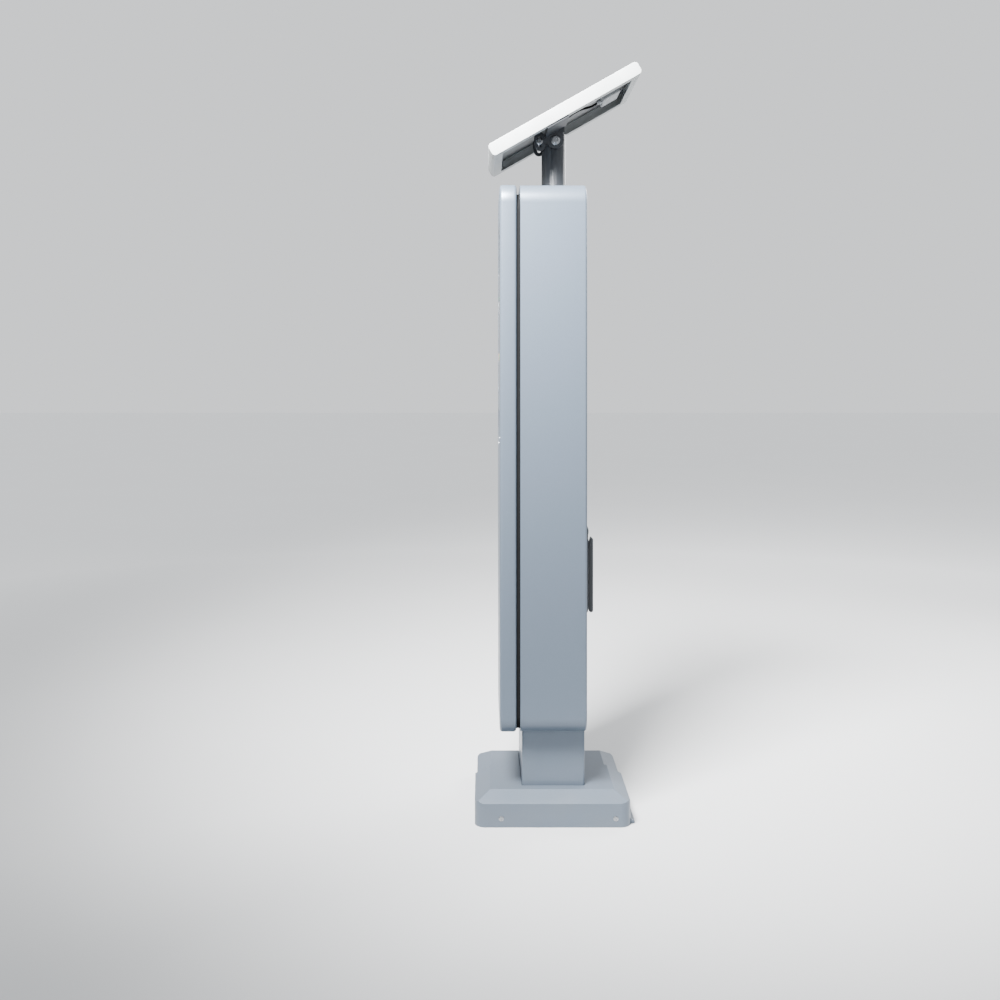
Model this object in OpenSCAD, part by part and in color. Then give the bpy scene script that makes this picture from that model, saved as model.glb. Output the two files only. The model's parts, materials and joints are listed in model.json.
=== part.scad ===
// Post-mounted parking pay station with a solar panel.
// Origin: centre of the base on the ground. +Z is up, the front door faces -Y.

/* [Cabinet] */
// Height of the cabinet's underside above the ground
cab_z0 = 204; // [150:1:320]
// Height of the cabinet
cab_h = 1278; // [1200:1:1560]
// Width of the cabinet
cab_w = 330; // [320:1:420]
// Depth of the body behind the seam
cab_d = 154.5; // [150:0.5:220]
// Where the rear face lies behind the base's centre
cab_back = 80; // [70:1:110]
// Radius of the four corners seen from the front
cab_r = 45; // [30:1:60]
// Sheet thickness of the body
wall = 2.5; // [2:0.5:3]
// Gap between the door shell and the body
seam = 8.5; // [7:0.5:14]

/* [Front door] */
// Thickness of the door shell
door_t = 39; // [34:1:50]
// Sheet thickness of the door
door_wall = 2; // [1.5:0.5:3]
// Width of the door's return flange
door_flange = 22; // [21:1:24]
// How far the door stands over the body's top and bottom
door_over = 1; // [0:1:3]
// Width of the body's front lip
front_lip = 27; // [24:1:30]
// Set-back of the seal at the sides and the bottom
seal_in = 7; // [6:0.5:9]
// Set-back of the seal at the top
seal_in_top = 21; // [18:1:24]
// Radius of a hinge barrel
barrel_r = 5; // [4.5:0.5:5.5]
// Radius of a hinge pin
hinge_pin_r = 2.5; // [2:0.5:3]
// Height of one hinge knuckle
knuckle_h = 30; // [24:1:50]

/* [Fascia] */
// Width of the fascia plate
fascia_w = 230; // [226:1:250]
// Height of the fascia plate
fascia_h = 400; // [390:1:440]
// Distance from the door's top to the fascia's top
fascia_drop = 82; // [76:1:120]
// Width of the display window
window_w = 171; // [140:1:180]
// Height of the display window
window_h = 99; // [80:1:104]
// Radius of a push button
button_r = 11; // [8:0.5:13]
// Spacing of the push buttons
button_pitch = 30; // [29:1:32]
// Travel of a push button
button_travel = 2.5; // [1.5:0.5:2.5]

/* [Trays] */
// Width of the ticket tray inside
ticket_w = 112; // [90:1:118]
// Height of the ticket tray inside
ticket_h = 88; // [80:1:100]
// Depth of the ticket tray
ticket_d = 42; // [34:1:46]
// Width of the coin cup inside
coin_w = 66; // [56:1:68]
// Height of the coin cup inside
coin_h = 66; // [60:1:80]
// Depth of the coin cup
coin_d = 50; // [48:1:52]

/* [Rear door] */
// Margin between the cabinet's side and the rear opening
rear_margin_x = 14.5; // [13:0.5:18]
// Margin between the cabinet's ends and the rear opening
rear_margin_z = 32; // [31:1:60]
// Depth of the rear door pan
rear_t = 18; // [16:1:20]
// Gap around the rear door
rear_gap = 3.5; // [3:0.5:4]
// Distance of the pivot from the door's edge and face
pivot_in = 6; // [5:0.5:6]

/* [Swing handle] */
// Distance of the handle from the rear door's free edge
handle_in = 37; // [34:1:46]
// Height of the handle plate's foot above the ground
handle_z0 = 481; // [440:1:700]
// Length of the handle plate
handle_plate_l = 201; // [196:1:230]
// Length of the handle
handle_l = 175; // [150:1:176]
// Thickness of the handle
handle_t = 10; // [9:0.5:12]

/* [Base] */
// Side of the square hood
base_w = 360; // [340:1:440]
// Height of the hood's upright skirt
skirt_h = 54; // [40:1:80]
// Width of the hood's chamfer
chamfer_in = 36; // [24:1:44]
// Rise of the hood's chamfer
chamfer_up = 21; // [14:1:30]
// Radius of the skirt's corners
hood_r = 25; // [15:1:30]
// Sheet thickness of the hood
hood_wall = 2; // [1.5:0.5:3]
// Width of the pedestal
post_w = 240; // [220:1:240]
// Depth of the pedestal
post_d = 147; // [140:1:150]
// Thickness of the anchor plate
plate_t = 12; // [8:1:16]
// Side of the anchor plate
plate_w = 334; // [300:1:334]
// Spacing of the anchor holes from side to side
anchor_x = 200; // [160:1:220]
// Spacing of the anchor holes from front to back
anchor_y = 250; // [220:1:280]
// Radius of an anchor hole
anchor_r = 9; // [7:0.5:11]
// Radius of the cable entry
conduit_r = 40; // [25:1:50]

/* [Solar panel] */
// Diameter of the pole
pole_d = 60; // [48:1:66]
// Height of the tilt axis above the cabinet
pivot_up = 125; // [110:1:220]
// Tilt of the panel
tilt = 29.5; // [20:0.5:32]
// Length of the panel up its slope
panel_l = 400; // [360:1:480]
// Width of the panel
panel_w = 280; // [260:1:340]
// Thickness of the panel's frame
panel_t = 31; // [28:1:36]
// Distance from the tilt axis to the panel's low end
panel_low = 161; // [140:1:190]
// Distance from the tilt axis to the underside of the frame
panel_up = 21.5; // [20:0.5:26]
// Width of the frame's flange
flange_w = 25; // [18:1:30]

/* [Hidden] */
$fn = 48;
e = 0.5;               // overshoot of a cut past a face
run = 0.05;            // radial running fit of a pin in its bore
near = 0.3;            // gap between pieces that pass or rest beside each other
body_c = [0.66, 0.70, 0.75];
dark_c = [0.34, 0.36, 0.39];
steel_c = [0.72, 0.73, 0.74];
black_c = [0.10, 0.11, 0.12];

cab_z1 = cab_z0 + cab_h;
cab_zc = (cab_z0 + cab_z1) / 2;
cab_x = cab_w / 2;
body_y0 = cab_back - cab_d;
door_y1 = body_y0 - seam;
door_y0 = door_y1 - door_t;
door_z0 = cab_z0 - door_over;
door_z1 = cab_z1 + door_over;
door_zc = (door_z0 + door_z1) / 2;
in_x = cab_x - wall;

// ---- shared shapes -------------------------------------------------------------------

// An outline in X and Z, made solid from y0 to y1.
module along_y(y0, y1) { translate([0, y1, 0]) rotate([90, 0, 0]) linear_extrude(y1 - y0) children(); }

// An outline in Y and Z, made solid from x0 to x1.
module along_x(x0, x1) { translate([x0, 0, 0]) rotate([90, 0, 90]) linear_extrude(x1 - x0) children(); }

// A rounded rectangle round the origin.
module rounded(w, h, r) {
  square([w - 2 * r, h], center = true);
  square([w, h - 2 * r], center = true);
  for (sx = [-1, 1], sz = [-1, 1]) translate([sx * (w / 2 - r), sz * (h / 2 - r)]) circle(r);
}

// A box from its low and high corners.
module block(a, b) { translate(a) cube(b - a); }

// A rod or bore along X, Y or Z through a point.
module rod_x(x0, x1, y, z, r) { translate([x0, y, z]) rotate([0, 90, 0]) cylinder(r = r, h = x1 - x0); }
module rod_y(y0, y1, x, z, r) { translate([x, y1, z]) rotate([90, 0, 0]) cylinder(r = r, h = y1 - y0); }
module rod_z(z0, z1, x, y, r) { translate([x, y, z0]) cylinder(r = r, h = z1 - z0); }

// A plate in X and Z with a rounded outline, from y0 to y1.
module slab(y0, y1, x, z, w, h, r) { along_y(y0, y1) translate([x, z]) rounded(w, h, r); }

// The body's outline, moved in by a distance.
module body_outline(d) { translate([0, cab_zc]) rounded(cab_w - 2 * d, cab_h - 2 * d, cab_r - d); }

// The door's outline, moved in by a distance.
module door_outline(d) {
  translate([0, door_zc]) rounded(cab_w - 2 * d, door_z1 - door_z0 - 2 * d, cab_r - d);
}

// ---- base ----------------------------------------------------------------------------

post_y = 4;                               // the pedestal's centre, behind the base's centre
post_wall = 3;
post_flange = 6;
post_bolt_x = 95;
post_bolt_y = 60;
post_bolt_r = 5;
duct = [-114, post_y - 50, -62, post_y + 50];   // cable opening in the pedestal's top flange
floor_hole_r = 24;
lap = 20;                                 // how far the right hood half laps over the left
lap_gap = 2.5;                            // step between the two halves
hood_screw_z = 20;
hood_screw_y = [-119, 144];
tab_t = 4;
tab_w = 28;
tab_h = 36;

module anchor_plate() color(steel_c) {
  difference() {
    block([-plate_w / 2, -plate_w / 2, 0], [plate_w / 2, plate_w / 2, plate_t]);
    for (sx = [-1, 1], sy = [-1, 1])
      rod_z(-e, plate_t + e, sx * anchor_x / 2, sy * anchor_y / 2, anchor_r);
    rod_z(-e, plate_t + e, 0, 0, conduit_r);
  }
  hood_tabs(1, base_w / 2 - hood_wall - 1);
  hood_tabs(-1, base_w / 2 - hood_wall * 2 - lap_gap - 1);
}

// Upright lugs that the hood's screws go into.
module hood_tabs(side, x1) mirror([side < 0 ? 1 : 0, 0, 0]) for (y = hood_screw_y) difference() {
  union() {
    block([x1 - tab_t, y - tab_w / 2, 0], [x1, y + tab_w / 2, tab_h]);
    block([plate_w / 2 - tab_w, y - tab_w / 2, 0], [x1, y + tab_w / 2, tab_t]);
  }
  rod_x(x1 - tab_t - e, x1 + e, y, hood_screw_z, 2.5 + run);
}

module pedestal() color(body_c) {
  z1 = cab_z0;
  difference() {
    translate([0, post_y, plate_t]) linear_extrude(z1 - plate_t) rounded(post_w, post_d, 4);
    translate([0, post_y, plate_t - e]) linear_extrude(z1 - plate_t - post_flange + e)
      rounded(post_w - 2 * post_wall, post_d - 2 * post_wall, 1);
    block([duct[0], duct[1], z1 - post_flange - e], [duct[2], duct[3], z1 + e]);
    post_bolt_places() rod_z(z1 - post_flange - e, z1 + e, 0, 0, post_bolt_r + run);
  }
}

module post_bolt_places()
  for (sx = [-1, 1], sy = [-1, 1]) translate([sx * post_bolt_x, post_y + sy * post_bolt_y, 0]) children();

module pedestal_bolts() color(steel_c) post_bolt_places() {
  rod_z(cab_z0 - post_flange - 6, cab_z0 + wall + 1, 0, 0, post_bolt_r);
  rod_z(cab_z0 + wall, cab_z0 + wall + 6, 0, 0, 8);
}

// The hood's outer or inner form, a distance in from the outside.
module hood_form(d) intersection() {
  along_y(-base_w / 2 + d, base_w / 2 - d) hood_profile(d);
  along_x(-base_w / 2 + d, base_w / 2 - d) hood_profile(d);
  translate([0, 0, -1]) linear_extrude(skirt_h + chamfer_up + 2)
    rounded(base_w - 2 * d, base_w - 2 * d, hood_r - d);
}

module hood_profile(d) {
  w = base_w / 2 - d;
  polygon([[-w, 0], [w, 0], [w, skirt_h - d], [w - chamfer_in, skirt_h + chamfer_up - d],
    [chamfer_in - w, skirt_h + chamfer_up - d], [-w, skirt_h - d]]);
}

module hood_shell(d) difference() {
  hood_form(d);
  translate([0, 0, -0.01]) hood_form(d + hood_wall);
  block([-base_w, -base_w, -1], [base_w, base_w, 0]);
  translate([0, post_y, 0]) linear_extrude(base_w) rounded(post_w + 2, post_d + 2, 5);
}

module hood_screw_holes(side) for (y = hood_screw_y)
  rod_x(side > 0 ? 1 : -base_w, side > 0 ? base_w : -1, y, hood_screw_z, 3 + run);

toe_out = 10.6;                           // flared toe at the foot of the rear skirt
toe_h = 26;
toe_edge = 6;                             // height of the toe's own edge
toe_r = (toe_out ^ 2 + (toe_h - toe_edge) ^ 2) / (2 * toe_out);

module hood_right() color(body_c) difference() {
  union() {
    intersection() { hood_shell(0); block([-lap, -base_w, -1], [base_w, base_w, base_w]); }
    along_x(0, base_w / 2 - hood_r) translate([base_w / 2, 0]) difference() {
      translate([-hood_wall, 0]) square([toe_out + hood_wall, toe_h]);
      translate([toe_r, toe_h]) circle(toe_r);
    }
  }
  hood_screw_holes(1);
}

module hood_left() color(body_c) difference() {
  intersection() { hood_shell(hood_wall + lap_gap); block([-base_w, -base_w, -1], [0, base_w, base_w]); }
  hood_screw_holes(-1);
}

module hood_screws() color(steel_c) for (y = hood_screw_y) {
  hood_screw(base_w / 2, y, 1);
  hood_screw(base_w / 2 - hood_wall - lap_gap, y, -1);
}

module hood_screw(x, y, side) mirror([side < 0 ? 1 : 0, 0, 0]) {
  rod_x(x - 12, x + 0.5, y, hood_screw_z, 2.5);
  rod_x(x, x + 1.5, y, hood_screw_z, 6);
}

// ---- cabinet body --------------------------------------------------------------------

rear_x = cab_x - rear_margin_x;           // half the rear opening
rear_z0 = cab_z0 + rear_margin_z;
rear_z1 = cab_z1 - rear_margin_z;
rdoor_x = rear_x - rear_gap;
rdoor_z0 = rear_z0 + rear_gap;
rdoor_z1 = rear_z1 - rear_gap;
rdoor_y0 = cab_back - rear_t;
pole_y = 12.5;
pole_r = pole_d / 2;

module cabinet_wrap() color(body_c) difference() {
  along_y(body_y0, cab_back) body_outline(0);
  along_y(body_y0 - e, cab_back - wall) body_outline(wall);
  block([-rear_x, cab_back - 2 * wall, rear_z0], [rear_x, cab_back + e, rear_z1]);
  rod_z(cab_z1 - 2 * wall, cab_z1 + e, 0, pole_y, pole_r + near);
  rod_z(cab_z0 - e, cab_z0 + 2 * wall, (duct[0] + duct[2]) / 2, post_y, floor_hole_r);
  post_bolt_places() rod_z(cab_z0 - e, cab_z0 + 2 * wall, 0, 0, post_bolt_r + run);
}

// Half the width of the front opening, and its foot and head.
front_x = cab_x - front_lip;
front_z0 = cab_z0 + front_lip + 1;
front_z1 = cab_z1 - front_lip - 1;

module front_frame() color(body_c) difference() {
  along_y(body_y0, body_y0 + wall) body_outline(wall + 0.1);
  block([-front_x, body_y0 - e, front_z0], [front_x, body_y0 + wall + e, front_z1]);
}

frame_lip_y = rdoor_y0 - 8;               // front of the rear frame's lip
seal_clear = 1.7;                         // room for the door's hinge edge to swing past the seal
frame_lip_t = 3;
frame_out = 6;                            // the frame's walls stand this far outside the opening

module rear_frame() color(body_c) difference() {
  block([-rear_x - frame_out, frame_lip_y, rear_z0 - frame_out],
    [rear_x + frame_out, cab_back - wall, rear_z1 + frame_out]);
  block([-rear_x - frame_out + 3, frame_lip_y + frame_lip_t, rear_z0 - frame_out + 3],
    [rear_x + frame_out - 3, cab_back, rear_z1 + frame_out - 3]);
  block([-rear_x + 12, frame_lip_y - e, rear_z0 + 10], [rear_x - 12, cab_back, rear_z1 - 10]);
  pivot_pin_places() rod_z(-20, 20, 0, 0, 3 + run);
}

// The two ends of the rear door's pivot line.
module pivot_pin_places()
  for (z = [rear_z0 - frame_out + 1.5, rear_z1 + frame_out - 1.5])
    translate([pivot_in - rdoor_x, cab_back - pivot_in, z]) children();

module front_seal() color(black_c) along_y(door_y1 + near, body_y0) difference() {
  z0 = cab_z0 + seal_in;
  z1 = cab_z1 - seal_in_top;
  translate([0, (z0 + z1) / 2]) rounded(cab_w - 2 * seal_in, z1 - z0, cab_r - seal_in);
  translate([0, (z0 + z1) / 2]) rounded(cab_w - 2 * seal_in - 20, z1 - z0 - 20, cab_r - seal_in - 10);
}

module rear_seal() color(black_c) along_y(frame_lip_y + frame_lip_t, rdoor_y0 - seal_clear) difference() {
  translate([0, cab_zc]) square([2 * rdoor_x + 2, rdoor_z1 - rdoor_z0 + 2], center = true);
  translate([0, cab_zc]) square([2 * rdoor_x - 10, rdoor_z1 - rdoor_z0 - 10], center = true);
}

rail_z0 = cab_z0 + 50;
rail_z1 = cab_z1 - 50;
rack_y = 30;                              // front of the mounting plate

module rack_rails() color(steel_c) for (side = [0, 1]) mirror([side, 0, 0]) {
  block([in_x - 2.1, 8, rail_z0], [in_x - 0.1, rack_y, rail_z1]);
  block([in_x - 16, rack_y - 2, rail_z0], [in_x - 0.1, rack_y, rail_z1]);
}

plate_z0 = cab_z0 + 656;                  // foot of the mounting plate
module mounting_plate() color(steel_c)
  block([3 - in_x, rack_y, plate_z0], [in_x - 3, rack_y + 2, rail_z1 - 10]);

bat = [165, 90, 168];
bat_x = 30;
bat_z0 = cab_z0 + wall + 2;

strap_w = 28;
strap_t = 2;
tray_up = 20;                             // height of the battery tray's rim

module battery_tray() color(steel_c) difference() {
  x = bat[0] / 2 + strap_t + 1;
  y = bat[1] / 2 + 0.5;
  block([bat_x - x - 1.5, -y - 1.5, cab_z0 + wall], [bat_x + x + 1.5, y + 1.5, bat_z0 + tray_up]);
  block([bat_x - x, -y, bat_z0], [bat_x + x, y, bat_z0 + tray_up + 1]);
}

module battery() color(black_c) {
  block([bat_x - bat[0] / 2, -bat[1] / 2, bat_z0], [bat_x + bat[0] / 2, bat[1] / 2, bat_z0 + bat[2]]);
  for (s = [-1, 1]) rod_z(bat_z0 + bat[2] - 1, bat_z0 + bat[2] + 7, bat_x + s * 62, 28, 7);
}

module battery_strap() color(dark_c) difference() {
  x = bat[0] / 2 + near;
  z1 = bat_z0 + bat[2] + near;
  block([bat_x - x - strap_t, -strap_w / 2, bat_z0], [bat_x + x + strap_t, strap_w / 2, z1 + strap_t]);
  block([bat_x - x, -strap_w / 2 - 1, bat_z0 - 1], [bat_x + x, strap_w / 2 + 1, z1]);
}

cash = [200, 88, 168];
cash_z0 = cab_z0 + 226;
cash_y0 = -66;
shelf_x = in_x - 2.1 - 0.2;

module cash_shelf() color(steel_c) {
  block([-shelf_x, cash_y0, cash_z0 - 2], [shelf_x, rack_y - 2 - 0.2, cash_z0]);
  block([-shelf_x, cash_y0, cash_z0 - 16], [shelf_x, cash_y0 + 2, cash_z0]);
}

chute_x = 70;
chute_y = [-70, -45];
grip_x = [-60, 20];                       // ends of the cash box's grip
grip_up = 24;
grip_z = cash_z0 + cash[2];

module cash_box() color(dark_c) difference() {
  union() {
    block([-cash[0] / 2, cash_y0, cash_z0], [cash[0] / 2, cash_y0 + cash[1], cash_z0 + cash[2]]);
    difference() {
      block([grip_x[0], cash_y0 - 0.1, grip_z - 1], [grip_x[1], cash_y0 + 12, grip_z + grip_up]);
      block([grip_x[0] + 10, cash_y0 - 1, grip_z], [grip_x[1] - 10, cash_y0 + 13, grip_z + grip_up - 8]);
    }
  }
  block([chute_x - 20, cash_y0 + 6, grip_z - 30], [chute_x + 20, cash_y0 + 30, grip_z + 1]);
}

box_x = [-120, 60];                       // sides of the control box
box_z = [rail_z1 - 300, rail_z1 - 40];
box_d = 58;
gland_pitch = 42;

module control_box() color(steel_c) {
  block([box_x[0], rack_y - box_d, box_z[0]], [box_x[1], rack_y, box_z[1]]);
  for (i = [0:3]) rod_z(box_z[0] - 12, box_z[0], box_x[0] + 25 + gland_pitch * i, rack_y - box_d / 2, 8);
}

ctl = [120, 32, 110];                     // charge controller without its fins
ctl_drop = 498;                           // from the cabinet's top, as the supply lead is laid
ctl_z = cab_z1 - ctl_drop;
fin_pitch = 18;

module charge_controller() color(dark_c) {
  block([-ctl[0] / 2, rack_y - ctl[1], ctl_z - ctl[2] / 2], [ctl[0] / 2, rack_y, ctl_z + ctl[2] / 2]);
  for (i = [0:5]) {
    x = 10 - ctl[0] / 2 + fin_pitch * i;
    block([x, rack_y - ctl[1] - 6, ctl_z - 50], [x + 8, rack_y - ctl[1], ctl_z + 20]);
  }
}

// ---- front door ----------------------------------------------------------------------

hinge_x = -cab_x - barrel_r - 1;
hinge_y = (door_y1 + body_y0) / 2;
hinge_zs = [cab_z0 + 160, cab_zc, cab_z1 - 160];
leaf_t = 3;

module body_hinges() color(dark_c) for (z = hinge_zs) {
  rod_z(z - knuckle_h, z - near / 2, hinge_x, hinge_y, barrel_r);
  rod_z(z - knuckle_h, z + knuckle_h - 2, hinge_x, hinge_y, hinge_pin_r);
  block([-cab_x - leaf_t, hinge_y, z - knuckle_h], [-cab_x, body_y0 + 22, z - near / 2]);
}

module door_hinges() color(dark_c) for (z = hinge_zs) difference() {
  union() {
    rod_z(z + near / 2, z + knuckle_h, hinge_x, hinge_y, barrel_r);
    block([-cab_x - leaf_t, door_y0 + 10, z + near / 2], [-cab_x, hinge_y, z + knuckle_h]);
  }
  rod_z(z - e, z + knuckle_h - 1, hinge_x, hinge_y, hinge_pin_r + run);
}

fascia_z1 = door_z1 - fascia_drop;
fascia_z0 = fascia_z1 - fascia_h;
fascia_zc = (fascia_z0 + fascia_z1) / 2;
fascia_y0 = door_y0 + 0.5;                // front of the fascia
fascia_y1 = fascia_y0 + 5;
skin_y1 = door_y0 + door_wall;
ticket_x = -48;
coin_x = 74;
tray_wall = 2;
ticket_z = fascia_z0 - 92;                // centre of the ticket tray
coin_z = ticket_z + 10;
lock_x = front_x - 16;
lock_z = cab_z0 + 556;
lock_r = 9;

module front_door() color(body_c) {
  difference() {
    along_y(door_y0, door_y1) door_outline(0);
    along_y(skin_y1, door_y1 - door_wall) door_outline(door_wall);
    along_y(door_y1 - 2 * door_wall, door_y1 + e) door_outline(door_flange);
    slab(door_y0 - e, skin_y1 + e, 0, fascia_zc, fascia_w + 2 * near, fascia_h + 2 * near, 8);
    slab(door_y0 - e, skin_y1 + e, ticket_x, ticket_z, ticket_w + 2 * tray_wall + 2 * near,
      ticket_h + 2 * tray_wall + 2 * near, 6);
    slab(door_y0 - e, skin_y1 + e, coin_x, coin_z, coin_w + 2 * tray_wall + 2 * near,
      coin_h + 2 * tray_wall + 2 * near, 6);
    rod_y(door_y0 - e, skin_y1 + e, lock_x, lock_z, lock_r + run);
  }
  difference() {
    rod_y(skin_y1, skin_y1 + 18, lock_x, lock_z, lock_r + 4);
    rod_y(skin_y1 - e, skin_y1 + 19, lock_x, lock_z, lock_r + run);
  }
}

window_z = fascia_z1 - 65;
reader_x = 50;
reader_z = fascia_z1 - 190;
pad_x = -50;
button_z = fascia_z1 - 320;
button_x = [for (i = [0:3]) -88 + i * button_pitch];
slot_x = 70;
slot_z = fascia_z1 - 312;
pane_lip = 5;                             // how far the pane reaches behind the fascia
pane_w = window_w + 2 * pane_lip;
pane_h = window_h + 2 * pane_lip;

module fascia() color(black_c) difference() {
  union() {
    slab(fascia_y0, fascia_y1, 0, fascia_zc, fascia_w, fascia_h, 8 - near);
    slab(skin_y1 + near, fascia_y1, 0, fascia_zc, fascia_w + 16, fascia_h + 16, 12);
  }
  slab(fascia_y0 - e, fascia_y1 + e, 0, window_z, window_w + 2 * near, window_h + 2 * near, 6);
  slab(fascia_y0 + 2.3, fascia_y1 + e, 0, window_z, pane_w + 1, pane_h + 1, 8);
  slab(fascia_y0 - e, fascia_y0 + 2.5, pad_x, reader_z, 77, 57, 8);
  slab(fascia_y0 - e, fascia_y1 + e, reader_x, reader_z, 63, 21, 3);
  slab(fascia_y0 - e, fascia_y1 + e, slot_x, slot_z, 31, 57, 5);
  for (x = button_x) rod_y(fascia_y0 - e, fascia_y1 + e, x, button_z, button_r + 0.2);
}

module display_window() color([0.25, 0.33, 0.36, 0.6]) {
  slab(fascia_y0, fascia_y0 + 3, 0, window_z, window_w, window_h, 6 - near);
  slab(fascia_y0 + 2.6, fascia_y1, 0, window_z, pane_w, pane_h, 8 - near);
}

module display_module() color([0.2, 0.35, 0.25])
  slab(fascia_y1, fascia_y1 + 18, 0, window_z, window_w + 16, window_h + 16, 3);

module contactless_pad() color(dark_c) slab(fascia_y0 + 0.2, fascia_y0 + 2.5, pad_x, reader_z, 76, 56, 7.5);

module card_reader() color(dark_c) difference() {
  union() {
    slab(fascia_y0, fascia_y1 + e, reader_x, reader_z, 62, 20, 2.5);
    slab(fascia_y1, fascia_y1 + 56, reader_x, reader_z, 70, 40, 3);
  }
  block([reader_x - 27.5, fascia_y0 - e, reader_z - 1], [reader_x + 27.5, fascia_y1 + 40, reader_z + 1]);
  block([reader_x - 29, fascia_y0 - e, reader_z - 2], [reader_x + 29, fascia_y0 + 2, reader_z + 2]);
}

module coin_slot_bezel() color(steel_c) difference() {
  slab(fascia_y0, fascia_y1, slot_x, slot_z, 30, 56, 4.5);
  block([slot_x - 1.7, fascia_y0 - e, slot_z - 16], [slot_x + 1.7, fascia_y1 + e, slot_z + 16]);
}

validator_y1 = fascia_y1 + 74;
module coin_validator() color(dark_c) difference() {
  block([slot_x - 26, fascia_y1, slot_z - 78], [slot_x + 26, validator_y1, slot_z + 36]);
  block([slot_x - 1.7, fascia_y1 - e, slot_z - 16], [slot_x + 1.7, fascia_y1 + 30, slot_z + 16]);
}

chute_z1 = slot_z - 78;
module coin_chute() color(steel_c) difference() {
  block([chute_x - 15, chute_y[0], cash_z0 + cash[2] + 6], [chute_x + 15, chute_y[1], chute_z1]);
  block([chute_x - 13.5, chute_y[0] + 1.5, cash_z0], [chute_x + 13.5, chute_y[1] - 1.5, chute_z1 + 1]);
}

// A push button with its stop flange and its stem.
board_y = fascia_y1 + 3.5 + 7;            // front of the switch board
module button(i, c) color(c) {
  rod_y(fascia_y0 - 0.3, fascia_y1 + 1, button_x[i], button_z, button_r);
  rod_y(fascia_y1 + near, fascia_y1 + 3.5, button_x[i], button_z, button_r + 2);
  rod_y(fascia_y1 + 3, board_y - button_travel - 0.4, button_x[i], button_z, 3.5);
}

module button_1() button(0, [0.75, 0.76, 0.78]);
module button_2() button(1, [0.75, 0.76, 0.78]);
module button_3() button(2, [0.75, 0.15, 0.12]);
module button_4() button(3, [0.12, 0.55, 0.25]);

module button_board() color([0.1, 0.4, 0.2]) {
  xm = (button_x[0] + button_x[3]) / 2;
  slab(board_y, board_y + 1.6, xm, button_z, 3 * button_pitch + 30, 46, 2);
  for (sx = [-1, 1], sz = [-1, 1])
    rod_y(fascia_y1, board_y + 0.5, xm + sx * (1.5 * button_pitch + 11), button_z + sz * 19, 3);
}

// An open box behind the door's skin, with a rim behind the skin.
module tray(x, z, w, h, d, pin_z) difference() {
  union() {
    slab(fascia_y0, fascia_y0 + d, x, z, w + 2 * tray_wall, h + 2 * tray_wall, 6 - near);
    slab(skin_y1 + near, skin_y1 + 2, x, z, w + 14, h + 14, 8);
  }
  slab(fascia_y0 - e, fascia_y0 + d - tray_wall, x, z, w, h, 4);
  rod_x(x - w / 2 - tray_wall - e, x + w / 2 + tray_wall + e, flap_y, pin_z, 1.5 + run);
}

flap_y = fascia_y0 + 6;                   // hinge line of both flaps
ticket_pin_z = ticket_z + ticket_h / 2 - 5;
coin_pin_z = coin_z + coin_h / 2 - 5;

module ticket_tray() color(steel_c) tray(ticket_x, ticket_z, ticket_w, ticket_h, ticket_d, ticket_pin_z);
module coin_cup() color(steel_c) tray(coin_x, coin_z, coin_w, coin_h, coin_d, coin_pin_z);

// A flap that hangs from a pin through the tray's walls.
module flap(x, w, pin_z, drop) {
  rod_x(x - w / 2 - tray_wall + 0.2, x + w / 2 + tray_wall - 0.2, flap_y, pin_z, 1.5);
  rod_x(x - w / 2 + 0.8, x + w / 2 - 0.8, flap_y, pin_z, 3);
  block([x - w / 2 + 0.8, flap_y - 1.5, pin_z - drop], [x + w / 2 - 0.8, flap_y + 1.5, pin_z]);
}

module ticket_flap() color([0.6, 0.7, 0.75, 0.5]) flap(ticket_x, ticket_w, ticket_pin_z, ticket_h - 24);
module coin_flap() color([0.6, 0.7, 0.75, 0.5]) flap(coin_x, coin_w, coin_pin_z, 38);

roll_r = 30;
roll_x = [-96, -16];
roll_y = -70;
roll_z = ticket_z + 151;

module printer() color(dark_c) difference() {
  z0 = ticket_z + ticket_h / 2 + tray_wall;
  block([roll_x[0] - 3, roll_y - 32, z0], [roll_x[1] + 3, roll_y + 30, z0 + 54]);
  block([roll_x[0], roll_y - 28, z0 - 1], [roll_x[1], roll_y - 25, z0 + 55]);
}

// Two cheeks that stand on the printer and carry the roll's spindle.
module roll_spindle() color(steel_c) {
  rod_x(roll_x[0] - 6, roll_x[1] + 6, roll_y, roll_z, 5);
  for (x = [roll_x[0] - 6, roll_x[1] + 3])
    block([x, roll_y - 9, ticket_z + 70], [x + 3, roll_y + 9, roll_z + 9]);
}

module paper_roll() color("white") difference() {
  rod_x(roll_x[0] + 1, roll_x[1] - 1, roll_y, roll_z, roll_r);
  rod_x(roll_x[0] - e, roll_x[1] + e, roll_y, roll_z, 5 + run);
}

module door_lock() color(steel_c) {
  cam_y = body_y0 + wall + 1;
  difference() {
    rod_y(door_y0 + 0.1, cam_y, lock_x, lock_z, lock_r);
    block([lock_x - 1, door_y0 - e, lock_z - 5], [lock_x + 1, door_y0 + 3, lock_z + 5]);
  }
  along_y(cam_y, cam_y + 3) {
    translate([lock_x, lock_z]) circle(lock_r);
    translate([lock_x - 7, lock_z - 30]) square([14, 30]);
  }
}

// ---- rear door -----------------------------------------------------------------------

handle_x = rdoor_x - handle_in;
plate_rear_t = 5;
hub_z = handle_z0 + handle_l - 16;
pin_y = cab_back + plate_rear_t + 2.5 + handle_t / 2;
hub_r = 9;
tongue_r = 3.5;                           // end of the hub's tongue
lift_pin_r = 2;
rod_w = 12;
rod_t = 4;
rod_y0 = rdoor_y0 + 5;
rod_stroke = 12;

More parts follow.
